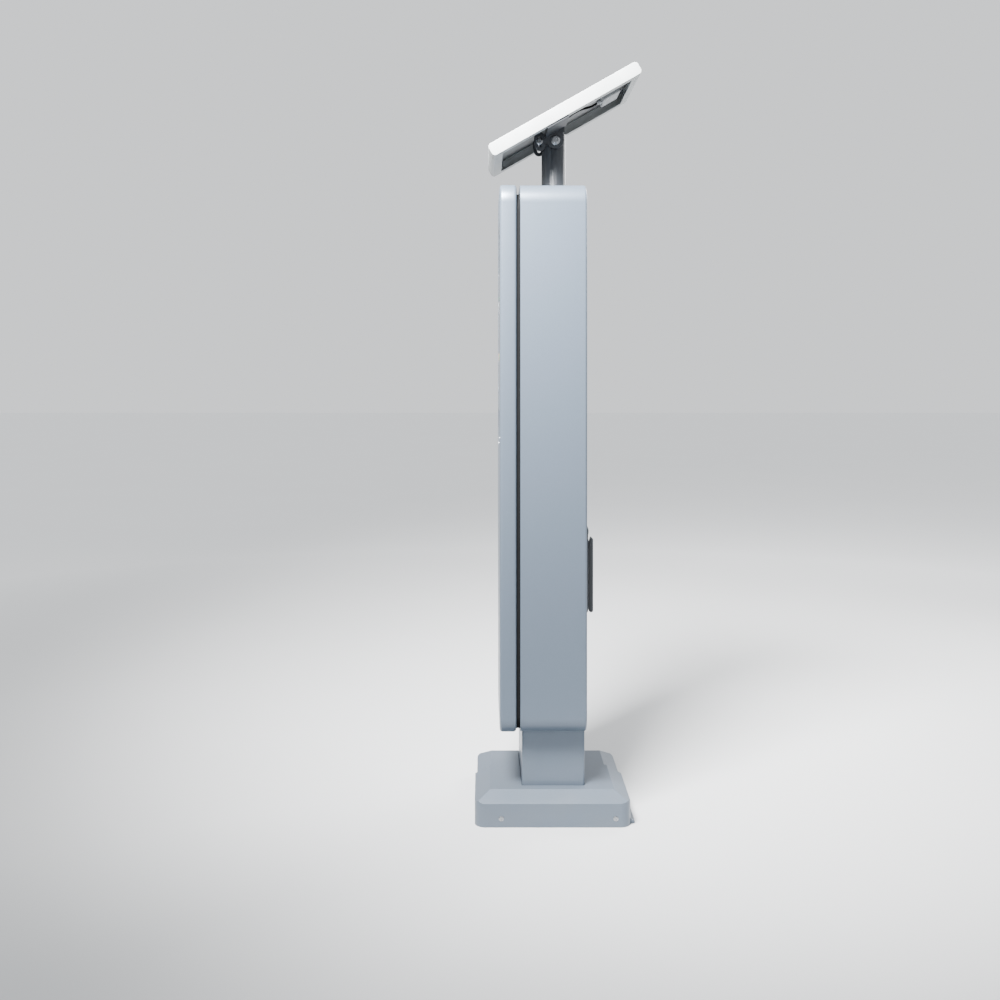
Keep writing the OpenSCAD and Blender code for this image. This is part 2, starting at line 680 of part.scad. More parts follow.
module rear_door() color(body_c) difference() {
  block([-rdoor_x, rdoor_y0, rdoor_z0], [rdoor_x, cab_back, rdoor_z1]);
  block([2 - rdoor_x, rdoor_y0 - e, rdoor_z0 + 2], [rdoor_x - 2, cab_back - 2, rdoor_z1 - 2]);
  rod_y(cab_back - 3, cab_back + e, handle_x, hub_z, hub_r + run);
  pivot_pin_places() rod_z(-20, 20, 0, 0, 3 + run);
}

module rear_pivot_pins() color(steel_c) {
  x = pivot_in - rdoor_x;
  y = cab_back - pivot_in;
  rod_z(rear_z0 - frame_out - 1, rdoor_z0 + 6, x, y, 3);
  rod_z(rdoor_z1 - 6, rear_z1 + frame_out + 1, x, y, 3);
}

module handle_plate() color(dark_c) difference() {
  zc = handle_z0 + handle_plate_l / 2;
  union() {
    slab(cab_back, cab_back + plate_rear_t, handle_x, zc, 38, handle_plate_l, 9);
    rod_y(cab_back, cab_back + plate_rear_t + 2, handle_x, handle_z0 + handle_plate_l - 12, 8);
  }
  rod_y(cab_back - e, cab_back + plate_rear_t + e, handle_x, hub_z, hub_r + 0.3);
}

// The turning hub: shaft, flange, tongue with the handle's pin, and the inner cam.
module handle_hub() color(dark_c) {
  top = cab_back + plate_rear_t;
  rod_y(rdoor_y0, top + near + 0.5, handle_x, hub_z, hub_r);
  rod_y(top + near, top + 2, handle_x, hub_z, 11);
  along_x(handle_x - 4, handle_x + 4) {
    translate([top + 1, hub_z - tongue_r]) square([pin_y - top - 1, 2 * tongue_r]);
    translate([pin_y, hub_z]) circle(tongue_r);
  }
  rod_x(handle_x - 10.5, handle_x + 10.5, pin_y, hub_z, lift_pin_r);
  rod_y(rdoor_y0, rdoor_y0 + 4, handle_x, hub_z, 20);
}

module swing_handle() color(dark_c) {
  h = handle_t / 2;
  difference() {
    along_x(handle_x - 11, handle_x + 11) translate([pin_y, hub_z]) difference() {
      translate([0, 16 - handle_l / 2]) rounded(handle_t, handle_l, h - 0.05);
      polygon([[-h - 1, 0], [-h, 0], [-0.5, 16], [-0.5, 18], [-h - 1, 18]]);
    }
    block([handle_x - 4.4, cab_back, hub_z - 7], [handle_x + 4.4, pin_y + tongue_r + near, hub_z + 5]);
    rod_x(handle_x - 12, handle_x + 12, pin_y, hub_z, lift_pin_r + run);
  }
}

// A latch rod that runs from beside the hub to the door's end.
module latch_rod(side, z_end) {
  z_in = hub_z + side * (hub_r + rod_stroke + 2);
  z_arm = z_in + side * 8;
  xa = handle_x + side * 11;
  xb = handle_x + side * 18;
  y1 = rod_y0 + rod_t;
  block([handle_x - rod_w / 2, rod_y0, min(z_in, z_end)], [handle_x + rod_w / 2, y1, max(z_in, z_end)]);
  block([min(handle_x, xb), rod_y0, min(z_in, z_arm)], [max(handle_x, xb), y1, max(z_in, z_arm)]);
  block([min(xa, xb), rod_y0, min(hub_z, z_in)], [max(xa, xb), y1, max(hub_z, z_in + side)]);
}

module latch_rod_upper() color(steel_c) latch_rod(1, rdoor_z1 - 10);
module latch_rod_lower() color(steel_c) latch_rod(-1, rdoor_z0 + 10);

module rod_guides() color(dark_c)
  for (z = [rdoor_z0 + 60, hub_z - 120, hub_z + 120, rdoor_z1 - 60]) difference() {
    x = rod_w / 2 + near;
    block([handle_x - x - 4.7, rod_y0 - 3, z - 9], [handle_x + x + 4.7, cab_back - 2, z + 9]);
    block([handle_x - x, rod_y0 - near, z - 10], [handle_x + x, rod_y0 + rod_t + near, z + 10]);
  }

// ---- solar panel ---------------------------------------------------------------------

pivot = [0, 14.5, cab_z1 + pivot_up];
tilt_limit = 15;
ear_x = pole_r + 0.5;
ear_t = 5;
ear_r = 20;
pivot_r = 6;
lock_bolt_r = 4;
lug = [-39, -3.4];                        // lock bolt, from the tilt axis, in Y and Z
lug_r = 9;
lug_d = norm(lug);
lug_a = atan2(lug[1], lug[0]) - tilt;     // its angle in the panel's own tilted frame
rail_t = 2;
glass_n = panel_up + panel_t - 6;         // underside of the laminate

// Moves a shape from the tilted frame (X, up the slope, off the slope) to its place.
module tilted() translate(pivot) rotate([tilt, 0, 0]) children();

module pole() color(dark_c) difference() {
  union() {
    rod_z(cab_z1 - wall - 6, pivot[2] + 40, 0, pole_y, pole_r);
    block([-55, pole_y - 50, cab_z1 - wall - 6], [55, pole_y + 50, cab_z1 - wall]);
    rod_x(-ear_x + near, ear_x - near, pivot[1] + lug[0], pivot[2] + lug[1], lug_r);
    block([near - ear_x, pivot[1] + lug[0], pivot[2] + lug[1] - lug_r],
      [ear_x - near, pole_y - 10, pivot[2] + lug[1] + lug_r]);
  }
  rod_z(cab_z1 - 40, pivot[2] + 60, 0, pole_y, pole_r - 3);
  rod_x(-60, 60, pivot[1], pivot[2], pivot_r + run);
  rod_x(-60, 60, pivot[1] + lug[0], pivot[2] + lug[1], lock_bolt_r + run);
  for (a = [tilt - tilt_limit, tilt + tilt_limit]) translate(pivot) rotate([a, 0, 0])
    block([-60, -120, 12], [60, 120, 160]);
}

// A bolt along X with a socket head at +X and a nut at -X.
module cross_bolt(y, z, r, head_r, head_t) {
  x0 = ear_x + ear_t + near;
  difference() {
    union() {
      rod_x(-x0 - head_t - 2, x0 + 1, y, z, r);
      rod_x(x0, x0 + head_t, y, z, head_r);
    }
    translate([x0 + head_t - 5, y, z]) rotate([0, 90, 0]) cylinder(r = r * 0.55, h = 6, $fn = 6);
  }
  translate([-x0 - head_t, y, z]) rotate([0, 90, 0]) difference() {
    cylinder(r = r * 1.8, h = head_t, $fn = 6);
    translate([0, 0, -1]) cylinder(r = r + run, h = head_t + 2);
  }
}

module pivot_bolts() color(steel_c) {
  cross_bolt(pivot[1], pivot[2], pivot_r, 11.5, 7);
  cross_bolt(pivot[1] + lug[0], pivot[2] + lug[1], lock_bolt_r, 8, 5);
}

// An ear with its arm: the ear carries the pivot bore and the arc slot of the tilt lock.
module yoke_side(side) mirror([side < 0 ? 1 : 0, 0, 0]) {
  difference() {
    along_x(ear_x, ear_x + ear_t) difference() {
      union() {
        circle(ear_r);
        polygon([[-ear_r, 0], [ear_r, 0], [40, panel_up], [lug_d * cos(lug_a), lug_d * sin(lug_a)]]);
        for (a = [-tilt_limit : 5 : tilt_limit]) rotate(lug_a + a) translate([lug_d, 0]) circle(12.5);
      }
      for (a = [-tilt_limit : 2 : tilt_limit])
        rotate(lug_a + a) translate([lug_d, 0]) circle(lock_bolt_r + 0.4, $fn = 12);
      translate([-100, glass_n - 6]) square([200, 60]);
    }
    rod_x(ear_x - e, ear_x + ear_t + e, 0, 0, pivot_r + run);
  }
  block([ear_x, -18, panel_up - 4], [panel_w / 2 - 3, 40, panel_up]);
}

module panel_yoke() color(dark_c) tilted() for (side = [-1, 1]) yoke_side(side);

// A frame rail as a channel: web outside, flange below, lips round the laminate's edge.
module rail_profile() {
  translate([0, panel_up]) {
    square([rail_t, panel_t]);
    square([flange_w, rail_t]);
    translate([0, panel_t - lip_t]) square([10, lip_t]);
    translate([0, panel_t - 8]) square([10, lip_t]);
  }
}

module panel_rails() color([0.93, 0.93, 0.92]) tilted() {
  for (side = [0, 1]) mirror([side, 0, 0])
    translate([-panel_w / 2, panel_l - panel_low, 0]) rotate([90, 0, 0])
      linear_extrude(panel_l) rail_profile();
  along_x(flange_w - panel_w / 2 + 0.1, panel_w / 2 - flange_w - 0.1) {
    translate([-panel_low, 0]) rail_profile();
    translate([panel_l - panel_low, 0]) mirror([1, 0]) rail_profile();
  }
}

laminate_in = 3;                          // from the frame's outside to the laminate's edge
lip_t = 1.6;                              // lips that hold the laminate

module panel_laminate() color([0.09, 0.11, 0.2]) tilted()
  block([laminate_in - panel_w / 2, laminate_in - panel_low, panel_up + panel_t - 6.2],
    [panel_w / 2 - laminate_in, panel_l - panel_low - laminate_in, panel_up + panel_t - lip_t - 0.2]);

module junction_box() color(black_c) tilted() {
  block([-40, 150, glass_n - 20], [40, 196, glass_n - 0.25]);
  translate([0, 152, glass_n - 12.5]) rotate([90, 0, 0]) cylinder(r = 6, h = 14);
}

// A direction square to a given one, the direction along a route, and a ring of points round it.
function unit(d) = d / norm(d);
function across(d) = let (u = unit(d)) unit(cross(u, abs(u[0]) < 0.8 ? [1, 0, 0] : [0, 1, 0]));
function along(p, i) = p[min(i + 1, len(p) - 1)] - p[max(i - 1, 0)];
function ring(c, d, r, n) = let (a = across(d), b = cross(unit(d), a))
  [for (k = [0:n - 1]) c + r * (cos(360 * k / n) * a + sin(360 * k / n) * b)];
// A smooth run of places through the chosen ones.
function mix(p, i, t) = let (a = p[max(i - 1, 0)], b = p[i], c = p[i + 1], d = p[min(i + 2, len(p) - 1)])
  0.5 * (2 * b + (c - a) * t + (2 * a - 5 * b + 4 * c - d) * t * t + (3 * b - a - 3 * c + d) * t * t * t);
function smooth(p, n) = concat([for (i = [0:len(p) - 2], k = [0:n - 1]) mix(p, i, k / n)], [p[len(p) - 1]]);

module tube(p, r, n) {
  m = len(p);
  points = [for (i = [0:m - 1]) each ring(p[i], along(p, i), r, n)];
  sides = [for (i = [0:m - 2], k = [0:n - 1]) let (j = (k + 1) % n)
    [i * n + k, i * n + j, (i + 1) * n + j, (i + 1) * n + k]];
  polyhedron(points, concat(sides, [[for (k = [n - 1:-1:0]) k], [for (k = [0:n - 1]) (m - 1) * n + k]]));
}

lead_r = 3;
// Route in the tilted frame, from the junction box's gland to the pole's open top.
panel_route = [[0, 138, glass_n - 12.5], [0, 122, glass_n - 12.5], [0, 96, 40], [0, 66, 40], [0, 44, 34],
  [0, pole_r - 2, 17], [0, pole_r - 8, 4], [0, pole_r - 15, -8], [0, 4, -21], [0, -2, -28]];
module panel_lead() color(black_c) tilted() tube(smooth(panel_route, 4), lead_r, 8);

supply_route = [[0, 27, 1570], [0, 27, 1530], [2, 27, 1495], [24, 22, 1462], [60, 12, 1440], [84, 8, 1410],
  [92, 8, 1340], [94, 8, 1250], [94, 8, 1160], [94, 9, 1080], [92, 11, 1020], [84, 14, 992], [72, 14, 984],
  [60, 14, 984]];
route_top = 1482;                         // cabinet height that the supply route was laid for
supply_shift = cab_z1 - route_top;
module supply_lead() color(black_c)
  tube(smooth([for (p = supply_route) [p[0], p[1], p[2] + supply_shift]], 3), lead_r, 8);

anchor_plate();
pedestal();
pedestal_bolts();
hood_right();
hood_left();
hood_screws();
cabinet_wrap();
front_frame();
rear_frame();
front_seal();
rear_seal();
rack_rails();
mounting_plate();
battery_tray();
battery();
battery_strap();
cash_shelf();
cash_box();
control_box();
charge_controller();
body_hinges();
door_hinges();
front_door();
fascia();
display_window();
display_module();
contactless_pad();
card_reader();
coin_slot_bezel();
coin_validator();
coin_chute();
button_board();
button_1();
button_2();
button_3();
button_4();
ticket_tray();
ticket_flap();
coin_cup();
coin_flap();
printer();
roll_spindle();
paper_roll();
door_lock();
rear_door();
rear_pivot_pins();
handle_plate();
handle_hub();
swing_handle();
latch_rod_upper();
latch_rod_lower();
rod_guides();
pole();
pivot_bolts();
panel_yoke();
panel_rails();
panel_laminate();
junction_box();
panel_lead();
supply_lead();
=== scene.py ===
# %% [markdown]
# # A parking pay station, finished in Blender
# The CAD model already holds every size, every joint and every piece. This notebook dresses it: folded
# sheet-metal shells with real bend radii, turned buttons and bolts, a solar panel with cells, and one
# procedural finish for each material. Each step first says what the real piece is and how it is made.

# %% Load the frame
import json
import math

import bmesh
import bpy
from mathutils import Matrix, Vector


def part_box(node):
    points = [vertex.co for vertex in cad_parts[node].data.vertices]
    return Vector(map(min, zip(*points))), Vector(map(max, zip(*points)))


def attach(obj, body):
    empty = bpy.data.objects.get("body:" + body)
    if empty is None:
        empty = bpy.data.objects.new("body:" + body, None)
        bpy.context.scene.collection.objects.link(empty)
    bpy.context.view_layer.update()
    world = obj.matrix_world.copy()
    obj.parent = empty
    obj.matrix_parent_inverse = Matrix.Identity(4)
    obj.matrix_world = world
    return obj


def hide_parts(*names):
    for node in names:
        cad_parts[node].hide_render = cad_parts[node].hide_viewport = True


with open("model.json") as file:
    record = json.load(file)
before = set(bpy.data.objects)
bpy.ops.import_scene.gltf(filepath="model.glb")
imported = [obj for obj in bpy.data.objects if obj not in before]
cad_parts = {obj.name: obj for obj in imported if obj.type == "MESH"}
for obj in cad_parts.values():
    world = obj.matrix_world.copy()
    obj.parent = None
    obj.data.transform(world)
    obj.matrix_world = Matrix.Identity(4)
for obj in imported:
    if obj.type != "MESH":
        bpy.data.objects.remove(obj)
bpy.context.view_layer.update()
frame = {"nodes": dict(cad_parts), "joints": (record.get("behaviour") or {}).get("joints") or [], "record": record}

scene = bpy.context.scene
MM = 0.001

# %% [markdown]
# ## Camera, floor and light
# The cabinet stands upright and is seen square from its right side, so the camera is level and looks
# along -X. Its shift frames the tall object without tilting, which keeps the cabinet's sides parallel.

# %% Camera
camera = bpy.data.objects.new("camera", bpy.data.cameras.new("camera"))
scene.collection.objects.link(camera)
camera.location = (2.75, -0.1586, 1.032)
camera.rotation_euler = (math.radians(90), 0, math.radians(90))
camera.data.lens = 40.34
camera.data.shift_x, camera.data.shift_y = 0.016, -0.1225
scene.camera = camera

# %% [markdown]
# A product picture needs one soft source that is nearer the top than the foot, so that tall faces fade
# downwards. The key hangs above the front edge on the camera's side, where it brightens the hood's
# chamfers, and two weak panels keep the front and rear doors readable. A bright, even world fills the
# shadows and is the white sweep behind the object.

# %% Floor and lights
def soft_light(name, place, target, size, watts, spread=180):
    lamp = bpy.data.objects.new(name, bpy.data.lights.new(name, "AREA"))
    lamp.data.shape, lamp.data.size, lamp.data.size_y = "RECTANGLE", size[0], size[1]
    lamp.data.energy = watts
    lamp.data.spread = math.radians(spread)
    lamp.location = place
    lamp.visible_camera = False
    lamp.rotation_euler = (Vector(target) - Vector(place)).to_track_quat("-Z", "Y").to_euler()
    scene.collection.objects.link(lamp)


soft_light("key", (1.3, -0.7, 2.9), (0.1, 0, 1.5), (0.9, 0.9), 175, spread=70)
soft_light("front_fill", (0.3, -2.6, 1.7), (0, 0, 0.95), (1.4, 1.4), 14)
soft_light("rear_fill", (-2.1, 2.2, 2.5), (0, 0, 0.9), (1.6, 1.6), 60, spread=120)

world = bpy.data.worlds.new("studio")
world.use_nodes = True
ambient = world.node_tree.nodes["Background"]
ambient.inputs["Color"].default_value = (0.95, 0.975, 1.0, 1)
ambient.inputs["Strength"].default_value = 1.1
scene.world = world

FLOOR_SIDE = 60
FLOOR_DROP = 0.5 * MM       # keeps the floor clear of the hood's underside
floor_mesh = bmesh.new()
bmesh.ops.create_grid(floor_mesh, x_segments=1, y_segments=1, size=FLOOR_SIDE / 2)
floor_data = bpy.data.meshes.new("floor")
floor_mesh.to_mesh(floor_data)
floor_mesh.free()
floor = bpy.data.objects.new("floor", floor_data)
floor.location.z = -FLOOR_DROP
scene.collection.objects.link(floor)
print("lights and floor ready")

# %% [markdown]
# ## Shader arithmetic
# A finish is easier to read as an expression than as a web of nodes. `Wire` wraps one output socket,
# and its operators add Math nodes. `Finish` makes a Principled material, and its one method `add` makes
# any other node: first its settings, then the values or wires of its sockets.

# %% Wire and Finish
class Wire:
    def __init__(self, finish, socket):
        self.finish, self.socket = finish, socket

    def _math(self, operation, first, second):
        return self.finish.add("ShaderNodeMath", {"operation": operation}, {0: first, 1: second})

    def __add__(self, other): return self._math("ADD", self, other)
    def __mul__(self, other): return self._math("MULTIPLY", self, other)
    def __sub__(self, other): return self._math("SUBTRACT", self, other)
    def __rsub__(self, other): return self._math("SUBTRACT", other, self)
    def __lt__(self, other): return self._math("LESS_THAN", self, other)
    def __mod__(self, other): return self._math("FLOORED_MODULO", self, other)
    __radd__, __rmul__ = __add__, __mul__

    def size(self): return self._math("ABSOLUTE", self, 0)


class Finish:
    def __init__(self, name, **sockets):
        self.material = bpy.data.materials.new(name)
        self.material.use_nodes = True
        self.tree = self.material.node_tree
        self.shader = self.tree.nodes["Principled BSDF"]
        for key, value in sockets.items():
            self.set(key.replace("_", " "), value)

    def feed(self, socket, value):
        if isinstance(value, Wire):
            self.tree.links.new(value.socket, socket)
        else:
            socket.default_value = value

    def set(self, key, value):
        self.feed(self.shader.inputs[key], value)

    def add(self, kind, settings=None, inputs=None, output=0):
        node = self.tree.nodes.new(kind)
        for key, value in (settings or {}).items():
            setattr(node, key, value)
        for key, value in (inputs or {}).items():
            self.feed(node.inputs[key], value)
        return Wire(self, node.outputs[output])

    def place(self):
        return self.add("ShaderNodeTexCoord", output="Object")

    def turned(self, at=(0, 0, 0), turn=(0, 0, 0), scale=(1, 1, 1)):
        inputs = {"Vector": self.place(), "Location": at, "Rotation": turn, "Scale": scale}
        return self.add("ShaderNodeMapping", {"vector_type": "TEXTURE"}, inputs)

    def axes(self, vector):
        node = self.add("ShaderNodeSeparateXYZ", inputs={0: vector}).socket.node
        return [Wire(self, node.outputs[i]) for i in range(3)]

    def noise(self, scale, detail=2.0, stretch=None):
        vector = self.turned(scale=stretch) if stretch else self.place()
        return self.add("ShaderNodeTexNoise", inputs={"Vector": vector, "Scale": scale, "Detail": detail})

    def band(self, value, low, high, to_low=0.0, to_high=1.0):
        inputs = {0: value, 1: low, 2: high, 3: to_low, 4: to_high}
        return self.add("ShaderNodeMapRange", inputs=inputs)

    def blend(self, factor, first, second):
        node = self.add("ShaderNodeMix", {"data_type": "RGBA"}).socket.node
        for key, value in ((0, factor), (6, first), (7, second)):
            self.feed(node.inputs[key], value)
        return Wire(self, node.outputs[2])

    def bump(self, height, depth, strength=1.0):
        self.set("Normal", self.add("ShaderNodeBump", inputs={
            "Height": height, "Distance": depth, "Strength": strength}))


def rgb(r, g, b):
    return (r, g, b, 1.0)


FINISHES = {}

# %% [markdown]
# ## Painted sheet metal
# The housing has a blue-grey powder coat with a fine metallic flake. Three things make it read as
# powder and not as flat paint: an orange-peel ripple a few millimetres wide, flakes that shift the
# colour and gloss from point to point, and a soft film of dust that gathers towards the ground.

# %% Powder coats
def powder_coat(name, colour, dusty, flake, roughness, metallic, dust_top):
    f = Finish(name, Metallic=metallic, IOR=1.5)
    flakes = f.add("ShaderNodeTexVoronoi", inputs={"Vector": f.place(), "Scale": 1400.0}, output="Color")
    sparkle = f.axes(flakes)[0]
    clouds = f.noise(2.2, 3.0)
    height = f.axes(f.place())[2]
    patches = f.noise(13.0, 4.0)
    dust = f.band(height, 0.0, dust_top, 1.0, 0.0) * f.band(patches, 0.35, 0.75, 0.08, 0.3)
    light = tuple(min(1.0, c * (1 + flake)) for c in colour)
    dark = tuple(c * (1 - flake) for c in colour)
    paint = f.blend(f.band(sparkle, 0.2, 0.9), rgb(*dark), rgb(*light))
    paint = f.blend(f.band(clouds, 0.3, 0.7, 0.0, 0.12), paint, rgb(*[c * 0.86 for c in colour]))
    f.set("Base Color", f.blend(dust, paint, rgb(*dusty)))
    f.set("Roughness", f.band(sparkle, 0.0, 1.0, roughness - 0.05, roughness + 0.05) + dust * 0.2)
    peel = f.noise(330.0, 2.0) + f.noise(90.0, 1.0) * 0.6
    f.bump(peel, 0.00012, 0.5)
    return f.material


FINISHES["body_paint"] = powder_coat("body_paint", (0.090, 0.114, 0.147), (0.13, 0.135, 0.135),
                                     0.05, 0.36, 0.40, 0.22)
FINISHES["dark_paint"] = powder_coat("dark_paint", (0.040, 0.044, 0.050), (0.09, 0.09, 0.088),
                                     0.09, 0.42, 0.30, 0.25)


# %% [markdown]
# ## Bare metals
# Zinc plating crystallises into patches that reflect differently, so a cell texture steers its colour
# and gloss. Stainless parts are brushed in one direction: a noise squeezed along that direction gives
# hairlines that catch the light.

# %% Zinc and stainless steel
def zinc():
    f = Finish("steel", Metallic=1.0)
    crystals = f.add("ShaderNodeTexVoronoi", inputs={"Vector": f.place(), "Scale": 55.0}, output="Color")
    patch = f.axes(crystals)[1]
    haze = f.noise(14.0, 4.0)
    f.set("Base Color", f.blend(patch, rgb(0.44, 0.45, 0.47), rgb(0.62, 0.63, 0.64)))
    f.set("Roughness", f.band(patch, 0.0, 1.0, 0.30, 0.48) + f.band(haze, 0.4, 0.7, 0.0, 0.12))
    f.bump(f.noise(420.0, 2.0), 0.00005, 0.4)
    return f.material


def brushed(name, colour, stretch):
    f = Finish(name, Metallic=1.0)
    hairs = f.noise(260.0, 3.0, stretch=stretch)
    smears = f.noise(11.0, 3.0)
    f.set("Base Color", f.blend(f.band(hairs, 0.3, 0.7), rgb(*[c * 0.86 for c in colour]), rgb(*colour)))
    f.set("Roughness", f.band(hairs, 0.3, 0.7, 0.20, 0.36) + f.band(smears, 0.5, 0.8, 0.0, 0.14))
    f.bump(hairs, 0.00003, 0.5)
    return f.material


FINISHES["steel"] = zinc()
FINISHES["stainless"] = brushed("stainless", (0.30, 0.31, 0.325), (14.0, 1.0, 1.0))
FINISHES["button_metal"] = brushed("button_metal", (0.72, 0.73, 0.74), (10.0, 1.0, 1.0))


# %% [markdown]
# ## Plastics, rubber and paper
# Moulded plastic carries the grain of its mould, and handled parts polish in patches. One function with
# the grain's size, its depth and the gloss makes all of them, and each piece gets its own numbers.

# %% Moulded finishes
def moulded(name, colour, roughness, grain, depth, coat=0.0, shine=0.5):
    f = Finish(name, Coat_Weight=coat, Specular_IOR_Level=shine)
    handled = f.noise(16.0, 3.0)
    spots = f.noise(grain, 2.0)
    f.set("Base Color", f.blend(f.band(handled, 0.35, 0.7, 0.0, 0.5), rgb(*colour),
                                rgb(*[min(1.0, c * 1.25 + 0.002) for c in colour])))
    f.set("Roughness", f.band(handled, 0.3, 0.7, roughness - 0.07, roughness + 0.07)
          + f.band(spots, 0.3, 0.7, -0.03, 0.03))
    f.bump(spots, depth, 0.6)
    return f.material


FINISHES["seal_rubber"] = moulded("seal_rubber", (0.004, 0.0042, 0.0045), 0.85, 700.0, 0.0001, shine=0.08)
FINISHES["fascia_black"] = moulded("fascia_black", (0.014, 0.015, 0.018), 0.30, 900.0, 0.00004, coat=0.3)
FINISHES["black_plastic"] = moulded("black_plastic", (0.022, 0.022, 0.025), 0.50, 620.0, 0.0001)
FINISHES["grey_plastic"] = moulded("grey_plastic", (0.27, 0.28, 0.29), 0.46, 620.0, 0.0001)
FINISHES["button_red"] = moulded("button_red", (0.52, 0.025, 0.02), 0.30, 500.0, 0.00003, coat=0.4)
FINISHES["button_green"] = moulded("button_green", (0.02, 0.30, 0.07), 0.30, 500.0, 0.00003, coat=0.4)
FINISHES["icon_white"] = moulded("icon_white", (0.72, 0.73, 0.73), 0.42, 500.0, 0.00003)
FINISHES["panel_frame"] = moulded("panel_frame", (0.36, 0.375, 0.375), 0.34, 260.0, 0.00005)


PAPER_LAYER = 0.6 * MM


def wound_paper(node):
    low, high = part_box(node)
    f = Finish("paper", Roughness=0.85)
    _, y, z = f.axes(f.turned(at=(low + high) / 2))
    radius = f.add("ShaderNodeMath", {"operation": "SQRT"}, {0: y * y + z * z})
    layers = (radius % PAPER_LAYER) * (1 / PAPER_LAYER)
    f.set("Base Color", f.blend(f.band(layers, 0.0, 1.0, 0.0, 0.35), rgb(0.84, 0.83, 0.79),
                                rgb(0.62, 0.61, 0.57)))
    f.bump(layers, 0.0001, 0.5)
    return f.material


FINISHES["paper"] = wound_paper("paper_roll")


# %% [markdown]
# ## Clear panes
# A flap or window is clear plastic with a faint tint. Alpha lets the light through, while scratches
# raise the roughness where fingers and coins rub.

# %% Clear plastic and circuit board
def clear_pane():
    f = Finish("clear_pane", IOR=1.49)
    f.set("Base Color", rgb(0.05, 0.062, 0.068))
    scratches = f.noise(420.0, 2.0, stretch=(1.0, 1.0, 7.0))
    f.set("Roughness", f.band(scratches, 0.6, 0.8, 0.05, 0.16))
    f.set("Alpha", f.band(scratches, 0.6, 0.8, 0.30, 0.36))
    return f.material


PAD_PITCH, PAD_SIDE = 5.1 * MM, 1.4 * MM


def circuit():
    f = Finish("circuit", Coat_Weight=0.4)
    x, _, z = f.axes(f.place())
    wires = f.noise(240.0, 0.0, stretch=(1.0, 1.0, 12.0))
    tracks = f.band(wires, 0.52, 0.54)
    pads = ((x % PAD_PITCH) < PAD_SIDE) * ((z % PAD_PITCH) < PAD_SIDE)
    mask = f.blend(tracks, rgb(0.005, 0.042, 0.017), rgb(0.009, 0.07, 0.03))
    f.set("Base Color", f.blend(pads, mask, rgb(0.62, 0.50, 0.24)))
    f.set("Metallic", pads)
    f.set("Roughness", 0.42 - pads * 0.15)
    f.bump(tracks, 0.00004, 0.6)
    return f.material


FINISHES["clear_pane"] = clear_pane()
FINISHES["circuit"] = circuit()

# %% [markdown]
# ## Shaping helpers
# Nearly every sheet-metal part here is a shell: a rounded block, less a smaller one, less its openings.
# The block starts as one face whose corners are bevelled, is extruded, and gets its rim bevelled to the
# bend radius. Exact booleans then open it, and the cutters are thrown away.

# %% Blocks, shells and turned parts
def solid(bm, name):
    mesh = bpy.data.meshes.new(name)
    bm.to_mesh(mesh)
    bm.free()
    piece = bpy.data.objects.new(name, mesh)
    scene.collection.objects.link(piece)
    return piece


def bevel(bm, geometry, width, segments=4, affect="EDGES"):
    bmesh.ops.bevel(bm, geom=geometry, offset=width, offset_type="OFFSET", affect=affect,
                    segments=segments, profile=0.5, material=-1, clamp_overlap=True, loop_slide=True)


def extruded(bm, face, move):
    grown = bmesh.ops.extrude_face_region(bm, geom=[face])
    corners = [v for v in grown["geom"] if isinstance(v, bmesh.types.BMVert)]
    bmesh.ops.translate(bm, verts=corners, vec=move)
    bmesh.ops.recalc_face_normals(bm, faces=bm.faces)
    return corners


def block(name, low, high, corner=0.0, rim=0.0, rims="both", axis="Y"):
    """A block from its low and high corners: `corner` rounds the outline seen along the axis,
    and `rim` rounds the edges of its low end, its high end or both."""
    turn = {"X": Matrix.Rotation(math.radians(90), 3, "Y"), "Y": Matrix.Rotation(math.radians(-90), 3, "X"),
            "Z": Matrix.Identity(3)}[axis]
    low, high = Vector(low), Vector(high)
    extent = turn.inverted() @ (high - low)
    extent = Vector([abs(v) for v in extent])
    bm = bmesh.new()
    bmesh.ops.create_grid(bm, x_segments=1, y_segments=1, size=0.5)
    bmesh.ops.scale(bm, vec=(extent.x, extent.y, 1), verts=bm.verts)
    if corner:
        bevel(bm, bm.verts[:], corner, 12 if corner > 0.01 else 5, "VERTICES")
    bmesh.ops.translate(bm, verts=bm.verts, vec=(0, 0, -extent.z / 2))
    extruded(bm, next(iter(bm.faces)), (0, 0, extent.z))
    if rim:
        ends = {"low": [-1], "high": [1], "both": [-1, 1]}[rims]
        bevel(bm, [e for e in bm.edges if any(
            all(abs(v.co.z - end * extent.z / 2) < 1e-7 for v in e.verts) for end in ends)], rim)
    bmesh.ops.rotate(bm, matrix=turn, verts=bm.verts)
    bmesh.ops.translate(bm, verts=bm.verts, vec=(low + high) / 2)
    bmesh.ops.recalc_face_normals(bm, faces=bm.faces)
    return solid(bm, name)


def grown_box(box, by):
    return box[0] - Vector(by), box[1] + Vector(by)


def bake(piece):
    graph = bpy.context.evaluated_depsgraph_get()
    mesh = bpy.data.meshes.new_from_object(piece.evaluated_get(graph))
    piece.modifiers.clear()
    piece.data = mesh
    return piece


def combine(piece, others, operation="DIFFERENCE"):
    for other in others:
        change = piece.modifiers.new("combine", "BOOLEAN")
        change.operation, change.solver, change.object = operation, "EXACT", other
    bake(piece)
    for other in others:
        bpy.data.objects.remove(other)
    return piece


